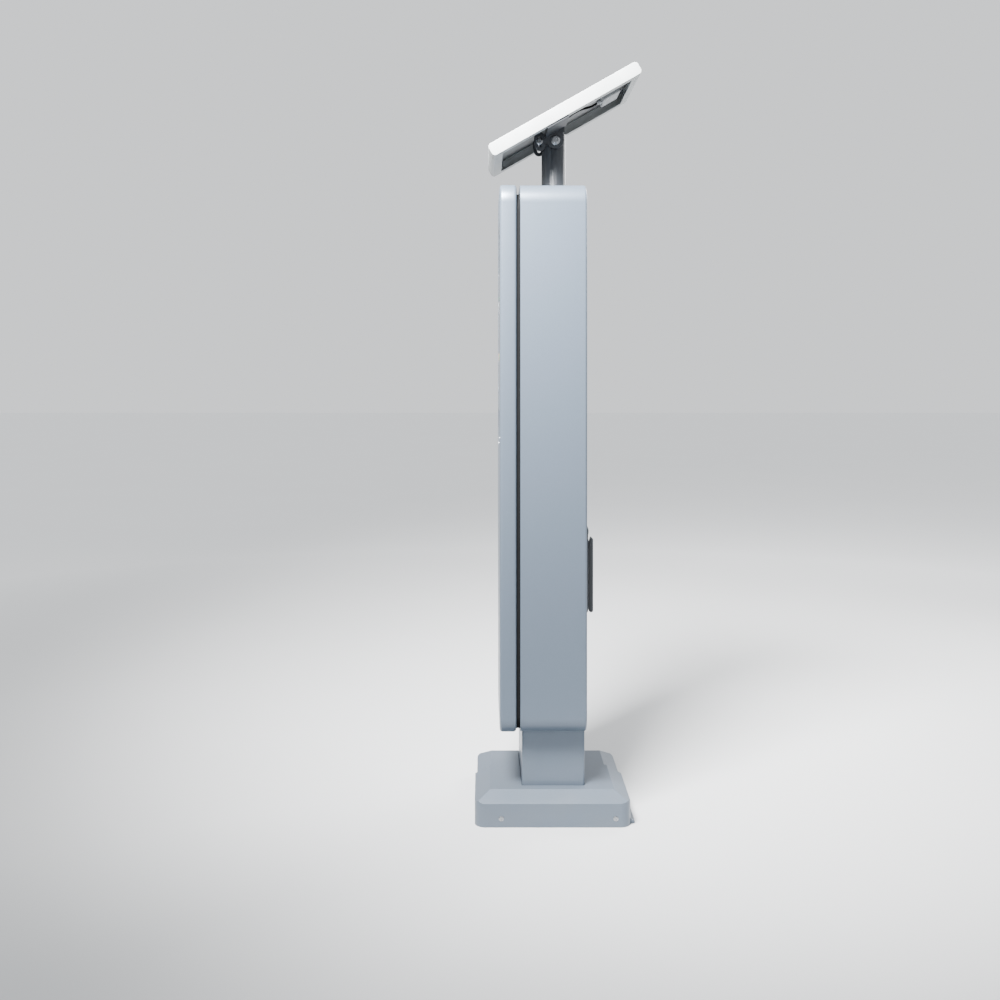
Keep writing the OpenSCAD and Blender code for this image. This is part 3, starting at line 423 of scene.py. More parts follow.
def turned(name, profile, at, axis, steps=48):
    """A lathe shape: `profile` lists (radius, distance along the axis), and closes on the axis."""
    bm = bmesh.new()
    points = [bm.verts.new((radius, 0, along)) for radius, along in profile]
    edges = [bm.edges.new(pair) for pair in zip(points, points[1:])]
    bmesh.ops.spin(bm, geom=points + edges, cent=(0, 0, 0), axis=(0, 0, 1), angle=math.tau, steps=steps,
                   use_merge=True, use_duplicate=False)
    bmesh.ops.remove_doubles(bm, verts=bm.verts, dist=1e-6)
    bmesh.ops.recalc_face_normals(bm, faces=bm.faces)
    aim = Vector((0, 0, 1)).rotation_difference(Vector(axis)).to_matrix()
    bmesh.ops.rotate(bm, matrix=aim, verts=bm.verts)
    bmesh.ops.translate(bm, verts=bm.verts, vec=at)
    return solid(bm, name)


def joined(name, parts):
    """Several shapes as one piece with separate shells."""
    bm = bmesh.new()
    for part in parts:
        bm.from_mesh(part.data)
        bpy.data.objects.remove(part)
    return solid(bm, name)


def tidy(piece, sharp=32):
    """Merges doubled points, drops slivers, and marks every edge sharper than an angle."""
    bm = bmesh.new()
    bm.from_mesh(piece.data)
    bmesh.ops.remove_doubles(bm, verts=bm.verts, dist=1e-6)
    bmesh.ops.dissolve_degenerate(bm, dist=1e-6, edges=bm.edges)
    for face in bm.faces:
        face.smooth = True
    for edge in bm.edges:
        edge.smooth = len(edge.link_faces) == 2 and edge.calc_face_angle(0) < math.radians(sharp)
    bm.to_mesh(piece.data)
    bm.free()


SHOWN = []


def place_piece(piece, body, slot, finish=None, replaces=(), edge=0.0, sharp=32):
    """Gives a finished piece its material, picked by its slot or finish, and its body, and softens its edges."""
    tidy(piece, sharp)
    piece.data.materials.clear()
    piece.data.materials.append(FINISHES[finish or slot])
    if edge:
        soften(piece, edge)
    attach(piece, body)
    if replaces:
        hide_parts(*replaces)
    SHOWN.append(piece.name)
    return piece


def soften(piece, width, segments=2, angle=35):
    change = piece.modifiers.new("edges", "BEVEL")
    change.width, change.segments, change.profile = width, segments, 0.5
    change.limit_method, change.angle_limit = "ANGLE", math.radians(angle)
    change.use_clamp_overlap, change.harden_normals = True, True
    change.miter_outer = "MITER_ARC"


# %% [markdown]
# ## The cabinet
# The body is a wrap of sheet with large rounded corners and a flat back. The wrap was bent, so its rear
# edge has a bend radius. The CAD shell has a square edge there, and this one is a rounded block hollowed
# out by a smaller rounded block, so the wall keeps its thickness round the bend.

# %% Cabinet wrap
CORNER = 45 * MM            # the outline's corner radius, as in the CAD model
OVERRUN = 10 * MM           # how far a cutter runs past the face that it opens
BODY_WALL = 2.5 * MM
BODY_EDGE = 6.0 * MM        # bend radius at the rear
DOOR_WALL = 2.0 * MM
DOOR_EDGE = 6.5 * MM
DOOR_FLANGE = 22 * MM

wrap_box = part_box("cabinet_wrap")
wrap = block("cabinet_shell", *wrap_box, corner=CORNER, rim=BODY_EDGE, rims="high")
low, high = grown_box(wrap_box, (-BODY_WALL,) * 3)
low.y = wrap_box[0].y - OVERRUN
hollow = block("hollow", low, high, corner=CORNER - BODY_WALL, rim=BODY_EDGE - BODY_WALL, rims="high")

REAR_GAP = 3.5 * MM
rear_low, rear_high = grown_box(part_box("rear_door"), (REAR_GAP, OVERRUN, REAR_GAP))
rear_opening = block("rear_opening", rear_low, rear_high)

pole_low, pole_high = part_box("pole")
POLE_RADIUS = 30 * MM
pole_centre = Vector((0, (pole_low.y + pole_high.y) / 2, 0))
roof = wrap_box[1].z
EDGE_FIT = 0.3 * MM
DUCT_RADIUS = 24 * MM
DUCT_X, DUCT_Y = -88 * MM, 4 * MM


def round_hole(name, radius, at):
    reach = 2 * OVERRUN
    return turned(name, [(0, -reach), (radius, -reach), (radius, reach), (0, reach)], at, (0, 0, 1))


pole_hole = round_hole("pole_hole", POLE_RADIUS + EDGE_FIT, (0, pole_centre.y, roof))
lead_hole = round_hole("lead_hole", DUCT_RADIUS, (DUCT_X, DUCT_Y, wrap_box[0].z))
combine(wrap, [hollow, rear_opening, pole_hole, lead_hole])
place_piece(wrap, "cabinet", "body_paint", replaces=["cabinet_wrap"], edge=0.4 * MM)
print("cabinet wrap faces", len(wrap.data.polygons))

# %% [markdown]
# ## The front door
# The door is a shallow pan with folded edges all round and a return flange behind. Its skin is cut out
# for the fascia, the two trays and the lock. The openings take their size from the pieces that fill
# them, so they keep an even gap.

# %% Front door shell
door_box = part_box("front_door")
door = block("front_door_shell", *door_box, corner=CORNER, rim=DOOR_EDGE)
low, high = grown_box(door_box, (-DOOR_WALL,) * 3)
door_hollow = block("hollow", low, high, corner=CORNER - DOOR_WALL, rim=DOOR_EDGE - DOOR_WALL)
low, high = grown_box(door_box, (-DOOR_FLANGE, 0, -DOOR_FLANGE))
low.y, high.y = door_box[1].y - 2 * DOOR_WALL, door_box[1].y + OVERRUN
flange_opening = block("flange_opening", low, high, corner=CORNER - DOOR_FLANGE)


def skin_cut(node, inset, corner):
    low, high = grown_box(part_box(node), (-inset + EDGE_FIT, 0, -inset + EDGE_FIT))
    low.y, high.y = door_box[0].y - OVERRUN, door_box[0].y + 2 * DOOR_WALL
    return block("cut_for_" + node, low, high, corner=corner)


FASCIA_LIP, TRAY_LIP = 8 * MM, 5 * MM
lock_low, lock_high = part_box("door_lock")
LOCK_RADIUS = 9 * MM
lock_at = Vector(((lock_low.x + lock_high.x) / 2, door_box[0].y, lock_high.z - LOCK_RADIUS))


def ring_cut(radius, depth):
    profile = [(0, -OVERRUN), (radius, -OVERRUN), (radius, depth), (0, depth)]
    return turned("ring_cut", profile, lock_at, (0, 1, 0))


LOCK_BOSS, LOCK_DEPTH = LOCK_RADIUS + 4 * MM, 18 * MM
lock_tube = turned("lock_tube", [(0, 0), (LOCK_BOSS, 0), (LOCK_BOSS, LOCK_DEPTH), (0, LOCK_DEPTH)],
                   lock_at + Vector((0, 1 * MM, 0)), (0, 1, 0))
combine(door, [door_hollow, flange_opening])
combine(door, [lock_tube], "UNION")
combine(door, [skin_cut("fascia", FASCIA_LIP, 8 * MM), skin_cut("ticket_tray", TRAY_LIP, 6 * MM),
               skin_cut("coin_cup", TRAY_LIP, 6 * MM), ring_cut(LOCK_RADIUS + 0.1 * MM, 0.03)])
place_piece(door, "front_door", "body_paint", replaces=["front_door"], edge=0.35 * MM)
print("front door faces", len(door.data.polygons))

# %% [markdown]
# ## The hood over the base
# Two folded halves hide the anchor plate. Each has an upright skirt, a chamfer with mitred corners and
# rounded skirt corners, and the right half laps over the left. The mitred form is a square extruded
# twice, the second time drawn in, and the skirt's corners come from a rounded prism that trims it.

# %% Hood halves
right_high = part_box("hood_right")[1]
HOOD_HALF, HOOD_TOP = right_high.x, right_high.z
SKIRT_HEIGHT = 54 * MM
CHAMFER_IN = 36 * MM
HOOD_CORNER = 25 * MM
HOOD_WALL = 2 * MM
LAP = 20 * MM
LAP_STEP = HOOD_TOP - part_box("hood_left")[1].z


def hood_form(inset):
    half = HOOD_HALF - inset
    bm = bmesh.new()
    bmesh.ops.create_grid(bm, x_segments=1, y_segments=1, size=half)
    extruded(bm, next(iter(bm.faces)), (0, 0, SKIRT_HEIGHT - inset))
    top = max(bm.faces, key=lambda face: face.calc_center_median().z)
    rim = extruded(bm, top, (0, 0, HOOD_TOP - SKIRT_HEIGHT))
    drawn_in = (half - CHAMFER_IN) / half
    bmesh.ops.scale(bm, vec=(drawn_in, drawn_in, 1), verts=rim)
    inner = [f for f in bm.faces if all(len(e.link_faces) > 2 for e in f.edges)]
    bmesh.ops.delete(bm, geom=inner, context="FACES")
    bmesh.ops.recalc_face_normals(bm, faces=bm.faces)
    form = solid(bm, "hood_form")
    prism = block("prism", (-half, -half, -0.01), (half, half, 0.2), corner=HOOD_CORNER - inset, axis="Z")
    return combine(form, [prism], "INTERSECT")


def hood_shell(name, inset, side_low, side_high):
    post_low, post_high = grown_box(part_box("pedestal"), (1 * MM, 1 * MM, 0.1))
    form = hood_form(inset)
    hollow = hood_form(inset + HOOD_WALL)
    hollow.data.transform(Matrix.Translation((0, 0, -0.00001)))
    floor_cut = block("floor_cut", (-1, -1, -0.1), (1, 1, 0))
    post_hole = block("post_hole", post_low, post_high, corner=5 * MM, axis="Z")
    side_cut = block("side_cut", side_low, side_high)
    combine(form, [hollow, floor_cut, post_hole, side_cut])
    form.name = name
    return form


screw_low, screw_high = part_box("hood_screws")
SCREW_HEAD = 6 * MM
screw_z = (screw_low.z + screw_high.z) / 2
screw_ys = (screw_low.y + SCREW_HEAD, screw_high.y - SCREW_HEAD)


def screw_holes(side):
    profile = [(0, 0.1), (3.2 * MM, 0.1), (3.2 * MM, 0.2), (0, 0.2)]
    return [turned("screw_hole", profile, (0, y, screw_z), (side, 0, 0), 24) for y in screw_ys]


hood_right = hood_shell("hood_right_shell", 0.0, (-1, -1, -1), (-LAP, 1, 1))
TOE_HEIGHT, TOE_LIP = 26 * MM, 6 * MM
TOE_SWEEP = 9 * MM          # the curve where the toe runs out of the skirt
TOE_ROUND = 2.4 * MM        # the corners of its lip
toe_y = HOOD_HALF - HOOD_WALL
toe_reach = right_high.y - toe_y
bm = bmesh.new()
outline = ((0, 0), (toe_reach, 0), (toe_reach, TOE_LIP),
           (HOOD_WALL + 0.4 * MM, TOE_LIP + 1 * MM), (HOOD_WALL + 0.2 * MM, TOE_HEIGHT), (0, TOE_HEIGHT))
corners = [bm.verts.new((0, toe_y + y, z)) for y, z in outline]
bm.faces.new(corners)
bevel(bm, [corners[3]], TOE_SWEEP, 8, "VERTICES")
bevel(bm, [v for v in bm.verts if abs(v.co.y - right_high.y) < 1e-6], TOE_ROUND, 4, "VERTICES")
extruded(bm, next(iter(bm.faces)), (HOOD_HALF - HOOD_CORNER, 0, 0))
combine(hood_right, [solid(bm, "toe")], "UNION")
combine(hood_right, screw_holes(1))
place_piece(hood_right, "cabinet", "body_paint", replaces=["hood_right"], edge=0.5 * MM, sharp=20)

hood_left = hood_shell("hood_left_shell", LAP_STEP, (0, -1, -1), (1, 1, 1))
combine(hood_left, screw_holes(-1))
place_piece(hood_left, "cabinet", "body_paint", replaces=["hood_left"], edge=0.5 * MM, sharp=20)
print("hood faces", len(hood_right.data.polygons), len(hood_left.data.polygons))

# %% [markdown]
# ## Screws and bolts
# Fasteners are turned parts with a driven recess. A flanged head is a lathe profile, and the hex socket
# is cut with a six-sided prism. The hood's screws are low domes with a washer rim. The two bolts of the
# panel's yoke have a wide flange, and each is a head half and an end half that overlap in the middle.

# %% Hood screws and yoke bolts
def hex_cut(across, depth, at, axis):
    profile = [(0, -depth), (across / 2, -depth), (across / 2, 0.02), (0, 0.02)]
    return turned("hex_cut", profile, at, axis, 6)


def dome_screw(at, axis, radius, height, shank, length):
    profile = [(0, -length), (shank, -length), (shank, 0), (radius, 0), (radius, height * 0.35),
               (radius * 0.86, height * 0.72), (radius * 0.58, height * 0.95), (0, height)]
    screw = turned("screw", profile, at, axis, 32)
    return combine(screw, [hex_cut(radius * 0.8, height * 0.9, Vector(at) + Vector(axis) * height, axis)])


hood_screws = []
for y in screw_ys:
    for x, side in ((HOOD_HALF, 1), (LAP_STEP - HOOD_HALF, -1)):
        hood_screws.append(dome_screw((x, y, screw_z), (side, 0, 0), SCREW_HEAD, 1.5 * MM, 2.4 * MM, 11 * MM))
place_piece(joined("hood_screw_set", hood_screws), "cabinet", "stainless", replaces=["hood_screws"])

tilt_joint = next(j for j in frame["joints"] if j["name"] == "panel_tilt")
PIVOT = Vector(tilt_joint.get("pos_m") or tilt_joint.get("origin_m"))
TILT = math.radians(29.5)
LOCK_BOLT = PIVOT + Vector((0, -39 * MM, -3.4 * MM))
EAR_OUT = 35.8 * MM


def yoke_bolt(at, shank, flange, head, height, socket):
    profile = [(0, -EAR_OUT), (shank, -EAR_OUT), (shank, 0), (flange, 0), (flange, 1.4 * MM),
               (flange - 1 * MM, 2.2 * MM), (head, 2.6 * MM), (head, height - 0.8 * MM),
               (head - 0.8 * MM, height), (0, height)]
    screw_side = turned("head", profile, at + Vector((EAR_OUT, 0, 0)), (1, 0, 0), 48)
    top = at + Vector((EAR_OUT + height, 0, 0))
    combine(screw_side, [hex_cut(socket, height * 0.7, top, (1, 0, 0))])
    nut_profile = [(shank, 0), (flange, 0), (flange, 1.4 * MM), (shank * 1.75, 1.6 * MM),
                   (shank * 1.75, height), (shank, height), (shank, 0)]
    nut = turned("nut", nut_profile, at - Vector((EAR_OUT, 0, 0)), (-1, 0, 0), 48)
    end = turned("end", [(0, -EAR_OUT - MM), (shank, -EAR_OUT - MM), (shank, height + 1.2 * MM),
                         (shank - 0.8 * MM, height + 2 * MM), (0, height + 2 * MM)],
                 at - Vector((EAR_OUT, 0, 0)), (-1, 0, 0), 48)
    return [screw_side, nut, end]


bolts = yoke_bolt(PIVOT, 6 * MM, 11.5 * MM, 8.6 * MM, 7 * MM, 11.6 * MM)
bolts += yoke_bolt(LOCK_BOLT, 4 * MM, 8 * MM, 5.8 * MM, 5 * MM, 7.2 * MM)
place_piece(joined("yoke_bolts", bolts), "cabinet", "stainless", replaces=["pivot_bolts"], edge=0.15 * MM)

# %% [markdown]
# ## The solar panel
# The frame is a ring of aluminium channels: a web outside, a flange below, and a lip that holds the
# laminate. Its ends are rounded in side view. The ring is built flat, as one rounded block less its
# hollows, and is then tilted about the pivot like the real panel.

# %% Panel frame, backsheet and junction box
PANEL_WIDTH, PANEL_LENGTH, PANEL_THICK = 280 * MM, 400 * MM, 31 * MM
PANEL_LOW_END, PANEL_UP = -161 * MM, 21.5 * MM
PANEL_HIGH_END = PANEL_LOW_END + PANEL_LENGTH
RAIL_WALL, RAIL_FLANGE, RAIL_LIP = 2 * MM, 25 * MM, 10 * MM
tilted = Matrix.Translation(PIVOT) @ Matrix.Rotation(TILT, 4, "X")
half_width = PANEL_WIDTH / 2
under, over = PANEL_UP, PANEL_UP + PANEL_THICK


def panel_block(name, side, ends, low, high, corner=0.0, **how):
    return block(name, (-half_width + side, PANEL_LOW_END + ends, low),
                 (half_width - side, PANEL_HIGH_END - ends, high), corner=corner, **how)


rails = panel_block("panel_frame_ring", 0, 0, under, over, corner=9 * MM, axis="X", rim=1.2 * MM)
combine(rails, [
    panel_block("hollow", RAIL_WALL, RAIL_WALL, under + RAIL_WALL, over - 1.6 * MM, corner=7 * MM, axis="X"),
    panel_block("below", RAIL_FLANGE, RAIL_FLANGE, under - 1 * MM, under + 3 * MM, corner=2 * MM, axis="Z"),
    panel_block("above", RAIL_LIP, RAIL_LIP, over - 3 * MM, over + 1 * MM, corner=2 * MM, axis="Z")])
rails.data.transform(tilted)
place_piece(rails, "panel", "panel_frame", replaces=["panel_rails"], edge=0.35 * MM)

LAMINATE_TOP = over - 1.8 * MM
GLASS = 3.0 * MM
glass = panel_block("panel_glass", 3 * MM, 3 * MM, LAMINATE_TOP - GLASS, LAMINATE_TOP, corner=2 * MM,
                    axis="Z", rim=0.3 * MM)
backsheet = panel_block("panel_backsheet", 3.2 * MM, 3.2 * MM, LAMINATE_TOP - GLASS - 1.4 * MM,
                        LAMINATE_TOP - GLASS - 0.05 * MM, corner=2 * MM, axis="Z", rim=0.2 * MM)

# %% [markdown]
# The laminate shows square cells on a dark sheet. Each cell has cut corners, hair-thin fingers and three
# silver busbars. All of that is flat under glass, so it is painted by masks of the position in the
# panel's own plane, and a clear coat stands for the glass.

# %% Solar cells
CELL = 64 * MM
CELL_GAP = 2.4 * MM


def solar_cells():
    f = Finish("panel_cells", Coat_Weight=1.0, Coat_Roughness=0.04)
    centre = tilted @ Vector((0, (PANEL_LOW_END + PANEL_HIGH_END) / 2, 0))
    x, y, _ = f.axes(f.turned(at=centre, turn=(TILT, 0, 0)))
    pitch = CELL + CELL_GAP
    across = (x + 40 * pitch) % pitch - pitch / 2
    along = (y + 40 * pitch) % pitch - pitch / 2
    inside = (across.size() < CELL / 2) * (along.size() < CELL / 2)
    inside = inside * (across.size() + along.size() < CELL * 0.92)
    within = (x.size() < 2 * pitch) * (y.size() < 3 * pitch - CELL_GAP / 2)
    cell = inside * within
    bars = ((across + CELL / 2) % (CELL / 3) - CELL / 6).size() < 0.8 * MM
    fingers = (along + CELL) % (2.1 * MM) < 0.22 * MM
    crystals = f.add("ShaderNodeTexVoronoi", inputs={"Vector": f.place(), "Scale": 130.0}, output="Color")
    grain = f.axes(crystals)[0]
    silicon = f.blend(grain, rgb(0.006, 0.011, 0.040), rgb(0.014, 0.026, 0.085))
    silicon = f.blend(fingers * 0.45, silicon, rgb(0.20, 0.22, 0.26))
    silicon = f.blend(bars, silicon, rgb(0.55, 0.56, 0.58))
    f.set("Base Color", f.blend(cell, rgb(0.030, 0.032, 0.036), silicon))
    f.set("Roughness", 0.42 - cell * 0.1)
    f.set("Metallic", cell * bars * 0.8)
    return f.material


FINISHES["panel_cells"] = solar_cells()
FINISHES["backsheet"] = moulded("backsheet", (0.20, 0.205, 0.21), 0.6, 300.0, 0.00004)
glass.data.transform(tilted)
backsheet.data.transform(tilted)
place_piece(glass, "panel", "panel_cells", replaces=["panel_laminate"])
place_piece(backsheet, "panel", "panel_cells", finish="backsheet")

JUNCTION_LOW, JUNCTION_HIGH = Vector((-40 * MM, 150 * MM, 26 * MM)), Vector((40 * MM, 196 * MM, 46 * MM))
box_body = block("junction_body", JUNCTION_LOW + Vector((0, 0, 6 * MM)), JUNCTION_HIGH,
                 corner=5 * MM, axis="Z", rim=1.5 * MM, rims="low")
box_lid = block("junction_lid", JUNCTION_LOW, JUNCTION_LOW + Vector((80 * MM, 46 * MM, 5.6 * MM)),
                corner=5 * MM, axis="Z", rim=1.5 * MM, rims="low")
gland_at = ((JUNCTION_LOW.x + JUNCTION_HIGH.x) / 2, JUNCTION_LOW.y + 2 * MM, 34 * MM)
gland = turned("gland", [(3.1 * MM, 1 * MM), (6 * MM, 1 * MM), (6 * MM, 7 * MM), (5.4 * MM, 7.6 * MM),
                         (5.4 * MM, 11 * MM), (4.4 * MM, 14 * MM), (3.1 * MM, 14 * MM),
                         (3.1 * MM, 1 * MM)],
               gland_at, (0, -1, 0), 32)
lid_screws = []
for x in (-33 * MM, 33 * MM):
    for y in (157 * MM, 189 * MM):
        lid_screws.append(dome_screw((x, y, JUNCTION_LOW.z + 0.4 * MM), (0, 0, -1), 3.4 * MM, 1.4 * MM,
                                     1.5 * MM, 5 * MM))
screw_set = joined("junction_lid_screws", lid_screws)
junction = joined("junction_case", [box_body, box_lid, gland])
for piece in (screw_set, junction):
    piece.data.transform(tilted)
place_piece(junction, "panel", "black_plastic", finish="grey_plastic", replaces=["junction_box"])
place_piece(screw_set, "panel", "stainless")
print("panel pieces ready")

# %% [markdown]
# ## Push buttons
# A vandal-proof button is turned from bar: a cap with a rounded rim and a shallow dish for the finger,
# a flange behind the fascia that stops it, and a stem. Raised symbols tell the buttons apart by touch:
# two arrows, a cross to cancel and a ring to confirm.

# %% Buttons with their symbols
SYMBOL = 0.25 * MM


def bar(name, centre, length, width, y, angle):
    half = Vector((length / 2, 0, width / 2))
    piece = block(name, Vector((0, y, 0)) - half, Vector((0, y + 0.6 * MM, 0)) + half, corner=width * 0.45)
    piece.data.transform(Matrix.Rotation(math.radians(angle), 4, "Y"))
    piece.data.transform(Matrix.Translation((centre.x, 0, centre.z)))
    return piece


def arrow(centre, y, way):
    shift = Vector((way * 1.2 * MM, 0, 2.2 * MM))
    down = Vector((shift.x, 0, -shift.z))
    return [bar("stroke", centre + shift, 7.5 * MM, 1.6 * MM, y, way * 40),
            bar("stroke", centre + down, 7.5 * MM, 1.6 * MM, y, -way * 40)]


def cross(centre, y):
    return [combine(bar("stroke", centre, 10 * MM, 1.8 * MM, y, 45),
                    [bar("stroke", centre, 10 * MM, 1.8 * MM, y, -45)], "UNION")]


def ring(centre, y):
    profile = [(3.2 * MM, 0), (5 * MM, 0), (5 * MM, 0.6 * MM), (3.2 * MM, 0.6 * MM), (3.2 * MM, 0)]
    return [turned("ring", profile, (centre.x, y, centre.z), (0, 1, 0), 40)]


BUTTON_FLANGE = 2 * MM
for number in range(1, 5):
    node = f"button_{number}"
    low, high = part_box(node)
    centre = Vector(((low.x + high.x) / 2, low.y, (low.z + high.z) / 2))
    radius = (high.x - low.x) / 2 - BUTTON_FLANGE
    depth = high.y - low.y
    profile = [(0, 0.9 * MM), (radius * 0.45, 0.75 * MM), (radius - 2.2 * MM, 0.3 * MM),
               (radius - 1.3 * MM, 0.05 * MM), (radius - 0.6 * MM, 0.12 * MM), (radius, 0.9 * MM),
               (radius, 5.6 * MM), (radius + BUTTON_FLANGE, 5.7 * MM), (radius + BUTTON_FLANGE, 8.8 * MM),
               (3.5 * MM, 8.8 * MM), (3.5 * MM, depth), (0, depth)]
    cap = turned(node + "_cap", profile, centre, (0, 1, 0), 56)
    slot = ("button_metal", "button_metal", "button_red", "button_green")[number - 1]
    place_piece(cap, node, slot, replaces=[node])
    face_y = centre.y + 0.35 * MM
    strokes = {1: lambda: arrow(centre, face_y, 1), 2: lambda: arrow(centre, face_y, -1),
               3: lambda: cross(centre, face_y), 4: lambda: ring(centre, face_y)}[number]()
    symbol = joined(node + "_symbol", strokes)
    place_piece(symbol, node, slot, finish="fascia_black" if number < 3 else "icon_white")
print("buttons ready")

# %% [markdown]
# ## Fascia details
# Behind the window sits a liquid-crystal screen. The picture on it is generic: a heading bar, three
# rows and a progress strip, all without lettering. The contactless pad has four small lamps and a raised
# ring, and the card slot has a lamp beside it.

# %% Screen, pad ring and lamps
DOT_PITCH, DOT_SIDE = 0.9 * MM, 0.8 * MM


def glow(name, colour, strength):
    f = Finish(name, Roughness=0.35)
    f.set("Base Color", rgb(*colour))
    x, _, z = f.axes(f.place())
    grid = ((x % DOT_PITCH) < DOT_SIDE) * ((z % DOT_PITCH) < DOT_SIDE)
    f.set("Emission Color", f.blend(grid, rgb(*[c * 0.7 for c in colour]), rgb(*colour)))
    f.set("Emission Strength", strength)
    return f.material


FINISHES["screen_field"] = glow("screen_field", (0.030, 0.075, 0.10), 0.6)
FINISHES["screen_mark"] = glow("screen_mark", (0.42, 0.56, 0.60), 0.6)
FINISHES["lamp_green"] = glow("lamp_green", (0.08, 0.55, 0.16), 0.5)

window_low, window_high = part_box("display_window")
WINDOW_LIP = 5 * MM
screen_low = Vector((window_low.x + WINDOW_LIP, window_high.y + 0.1 * MM, window_low.z + WINDOW_LIP))
screen_high = Vector((window_high.x - WINDOW_LIP, window_high.y + 0.2 * MM, window_high.z - WINDOW_LIP))
screen_y = window_low.y + 3.2 * MM


def screen_mark(left, right, low, high, corner):
    """A flat mark on the screen, placed by shares of the screen's width and height."""
    width, height = screen_high.x - screen_low.x, screen_high.z - screen_low.z
    a = Vector((screen_low.x + left * width, screen_y, screen_low.z + low * height))
    b = Vector((screen_low.x + right * width, screen_y + 0.3 * MM, screen_low.z + high * height))
    return block("mark", a, b, corner=corner)


field = block("screen_field", Vector((screen_low.x - 3 * MM, screen_y + 0.35 * MM, screen_low.z - 3 * MM)),
              Vector((screen_high.x + 3 * MM, screen_y + 0.9 * MM, screen_high.z + 3 * MM)), corner=3 * MM,
              rim=0.2 * MM, rims="low")
marks = [screen_mark(0.05, 0.95, 0.82, 0.93, 2 * MM)]
for row in range(3):
    foot = 0.60 - row * 0.20
    marks.append(screen_mark(0.05, 0.13, foot, foot + 0.13, 2 * MM))
    marks.append(screen_mark(0.17, 0.62 - 0.07 * row, foot + 0.02, foot + 0.11, 1.2 * MM))
    marks.append(screen_mark(0.78, 0.95, foot + 0.02, foot + 0.11, 1.2 * MM))
marks.append(screen_mark(0.05, 0.55, 0.05, 0.09, 0.8 * MM))
place_piece(joined("screen_marks", marks), "front_door", "clear_pane", finish="screen_mark")
place_piece(field, "front_door", "clear_pane", finish="screen_field")

pad_low, pad_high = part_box("contactless_pad")
pad_centre = (pad_low + pad_high) / 2
pad_face = pad_low.y - 0.15 * MM


def lamp_dome(radius, at):
    profile = [(0, 0), (radius, 0.05 * MM), (radius + 0.2 * MM, 0.6 * MM), (0, 0.6 * MM)]
    return turned("lamp", profile, at, (0, 1, 0), 20)


LAMP_PITCH = 9 * MM
lamps = [lamp_dome(1.5 * MM, (pad_centre.x + step * LAMP_PITCH, pad_face, pad_high.z - 8 * MM))
         for step in (-1.5, -0.5, 0.5, 1.5)]
reader_low, reader_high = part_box("card_reader")
reader_lamp_z = (reader_low.z + reader_high.z) / 2 + 6 * MM
lamps.append(lamp_dome(1.3 * MM, (reader_high.x - 8 * MM, reader_low.y - 0.1 * MM, reader_lamp_z)))
place_piece(joined("status_lamps", lamps), "front_door", "black_plastic", finish="lamp_green")
ring_profile = [(14 * MM, 0.5 * MM), (14.4 * MM, 0.05 * MM), (16.1 * MM, 0.05 * MM), (16.5 * MM, 0.5 * MM),
                (14 * MM, 0.5 * MM)]
pad_ring = turned("pad_ring", ring_profile, (pad_centre.x, pad_face, pad_centre.z - 4 * MM), (0, 1, 0), 64)
place_piece(pad_ring, "front_door", "black_plastic", finish="icon_white")

# %% [markdown]
# ## Rear lock and handle
# The swing handle is a die casting with soft edges, and a half-round lock cylinder sits in its plate
# above it. The cylinder is turned, with a raised rim and a cut for the key.

# %% Lock cylinder of the rear handle
plate_low, plate_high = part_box("handle_plate")
PLATE_THICK = 5 * MM
cylinder_at = Vector(((plate_low.x + plate_high.x) / 2, plate_low.y + PLATE_THICK, plate_high.z - 12 * MM))
cylinder = turned("rear_key_cylinder", [(0, -2 * MM), (6.6 * MM, -2 * MM), (6.6 * MM, 2.1 * MM),
                                        (6.2 * MM, 2.5 * MM), (5.4 * MM, 2.5 * MM), (5.2 * MM, 2.2 * MM),
                                        (0, 2.2 * MM)], cylinder_at, (0, 1, 0), 48)
key_slot = block("key_slot", cylinder_at + Vector((-0.7 * MM, 1 * MM, -3.2 * MM)),
                 cylinder_at + Vector((0.7 * MM, 4 * MM, 3.2 * MM)), corner=0.5 * MM)
combine(cylinder, [key_slot])
place_piece(cylinder, "rear_door", "stainless")

# %% [markdown]
# ## The remaining CAD pieces
# Every other node already has its true shape, so it stays and only gets its finish and softer edges.
# Its mesh is loose triangles: a Weld modifier joins them, a planar Decimate turns coplanar triangles
# back into faces, and a small Bevel catches the light as a real edge does. The two leads are smoothed
# by subdivision instead. The rear frame keeps its triangles, because one flat ring of it would be
# merged into a face that fills its own opening.

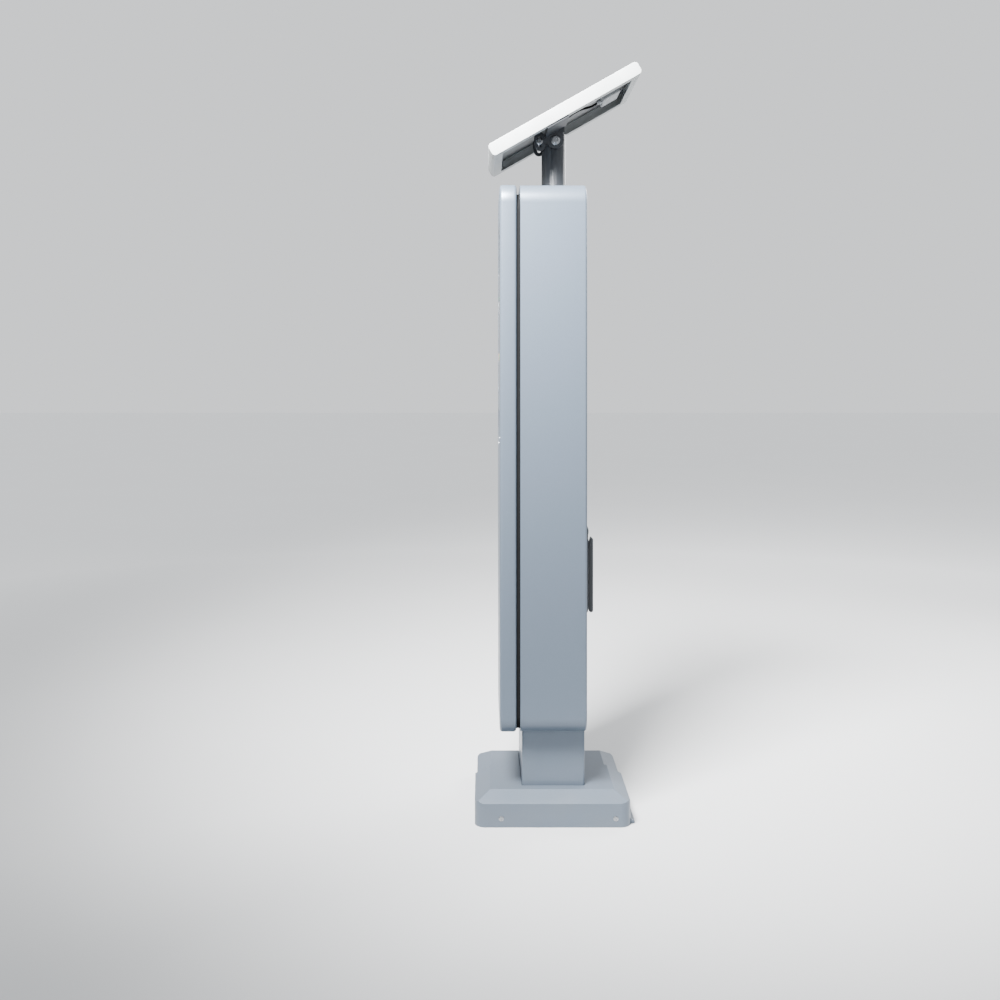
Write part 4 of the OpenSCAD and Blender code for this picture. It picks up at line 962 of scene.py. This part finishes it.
# %% Finish the CAD nodes
EDGES = {"handle_plate": 1.6, "swing_handle": 2.6, "handle_hub": 0.5, "pole": 0.5, "panel_yoke": 0.9,
         "rear_door": 0.9, "pedestal": 0.7, "fascia": 0.6, "cash_box": 0.8, "battery": 1.5,
         "control_box": 1.2, "printer": 1.2, "coin_validator": 1.0, "charge_controller": 0.8,
         "junction_box": 1.2, "card_reader": 0.5, "contactless_pad": 0.4, "coin_slot_bezel": 0.6,
         "door_lock": 0.5, "body_hinges": 0.5, "door_hinges": 0.5, "anchor_plate": 0.8,
         "front_seal": 0.7, "rear_seal": 0.7, "ticket_tray": 0.35, "coin_cup": 0.35}
USUAL_EDGE = 0.35
LEADS = ("panel_lead", "supply_lead")
WELD_REACH = 0.002 * MM
slot_of = {part["node"]: part["material_slot"] for part in frame["record"]["subparts"]}


def dress(node, thing):
    slot = slot_of[node]
    thing.data.materials.clear()
    thing.data.materials.append(FINISHES[slot])
    weld = thing.modifiers.new("weld", "WELD")
    weld.merge_threshold = WELD_REACH
    if node in LEADS:
        smooth = thing.modifiers.new("smooth", "SUBSURF")
        smooth.levels = smooth.render_levels = 2
        return
    if node != "rear_frame":
        flat = thing.modifiers.new("flat", "DECIMATE")
        flat.decimate_type, flat.angle_limit = "DISSOLVE", math.radians(0.4)
    soften(thing, EDGES.get(node, USUAL_EDGE) * MM, 3 if node == "swing_handle" else 2, 40)


kept = [node for node, thing in frame["nodes"].items() if not thing.hide_render]
for node in kept:
    dress(node, frame["nodes"][node])
print(len(kept), "CAD nodes kept,", len(SHOWN), "new pieces")

# %% [markdown]
# ## The floor
# The floor is plain apart from the faint mottling of a studio sweep and a painted shade: it is painted darker near
# the station, like a contact shadow round the base, and grows paler away from it, so that it throws less light up
# under the cabinet and still meets the bright surround far off.

# %% Floor finish
floor_finish = Finish("floor", Roughness=0.9)
mottle = floor_finish.noise(1.4, 3.0)
x, y, _ = floor_finish.axes(floor_finish.place())
# painted shade: the floor's colour darkens towards the station, a painted contact shadow round the base
painted_shade_falloff = floor_finish.band(x * x + y * y, 0.3, 16.0)
floor_finish.set("Base Color", floor_finish.blend(painted_shade_falloff * 0.94 + mottle * 0.06,
                                                  rgb(0.46, 0.465, 0.47), rgb(0.93, 0.935, 0.94)))
floor.data.materials.append(floor_finish.material)
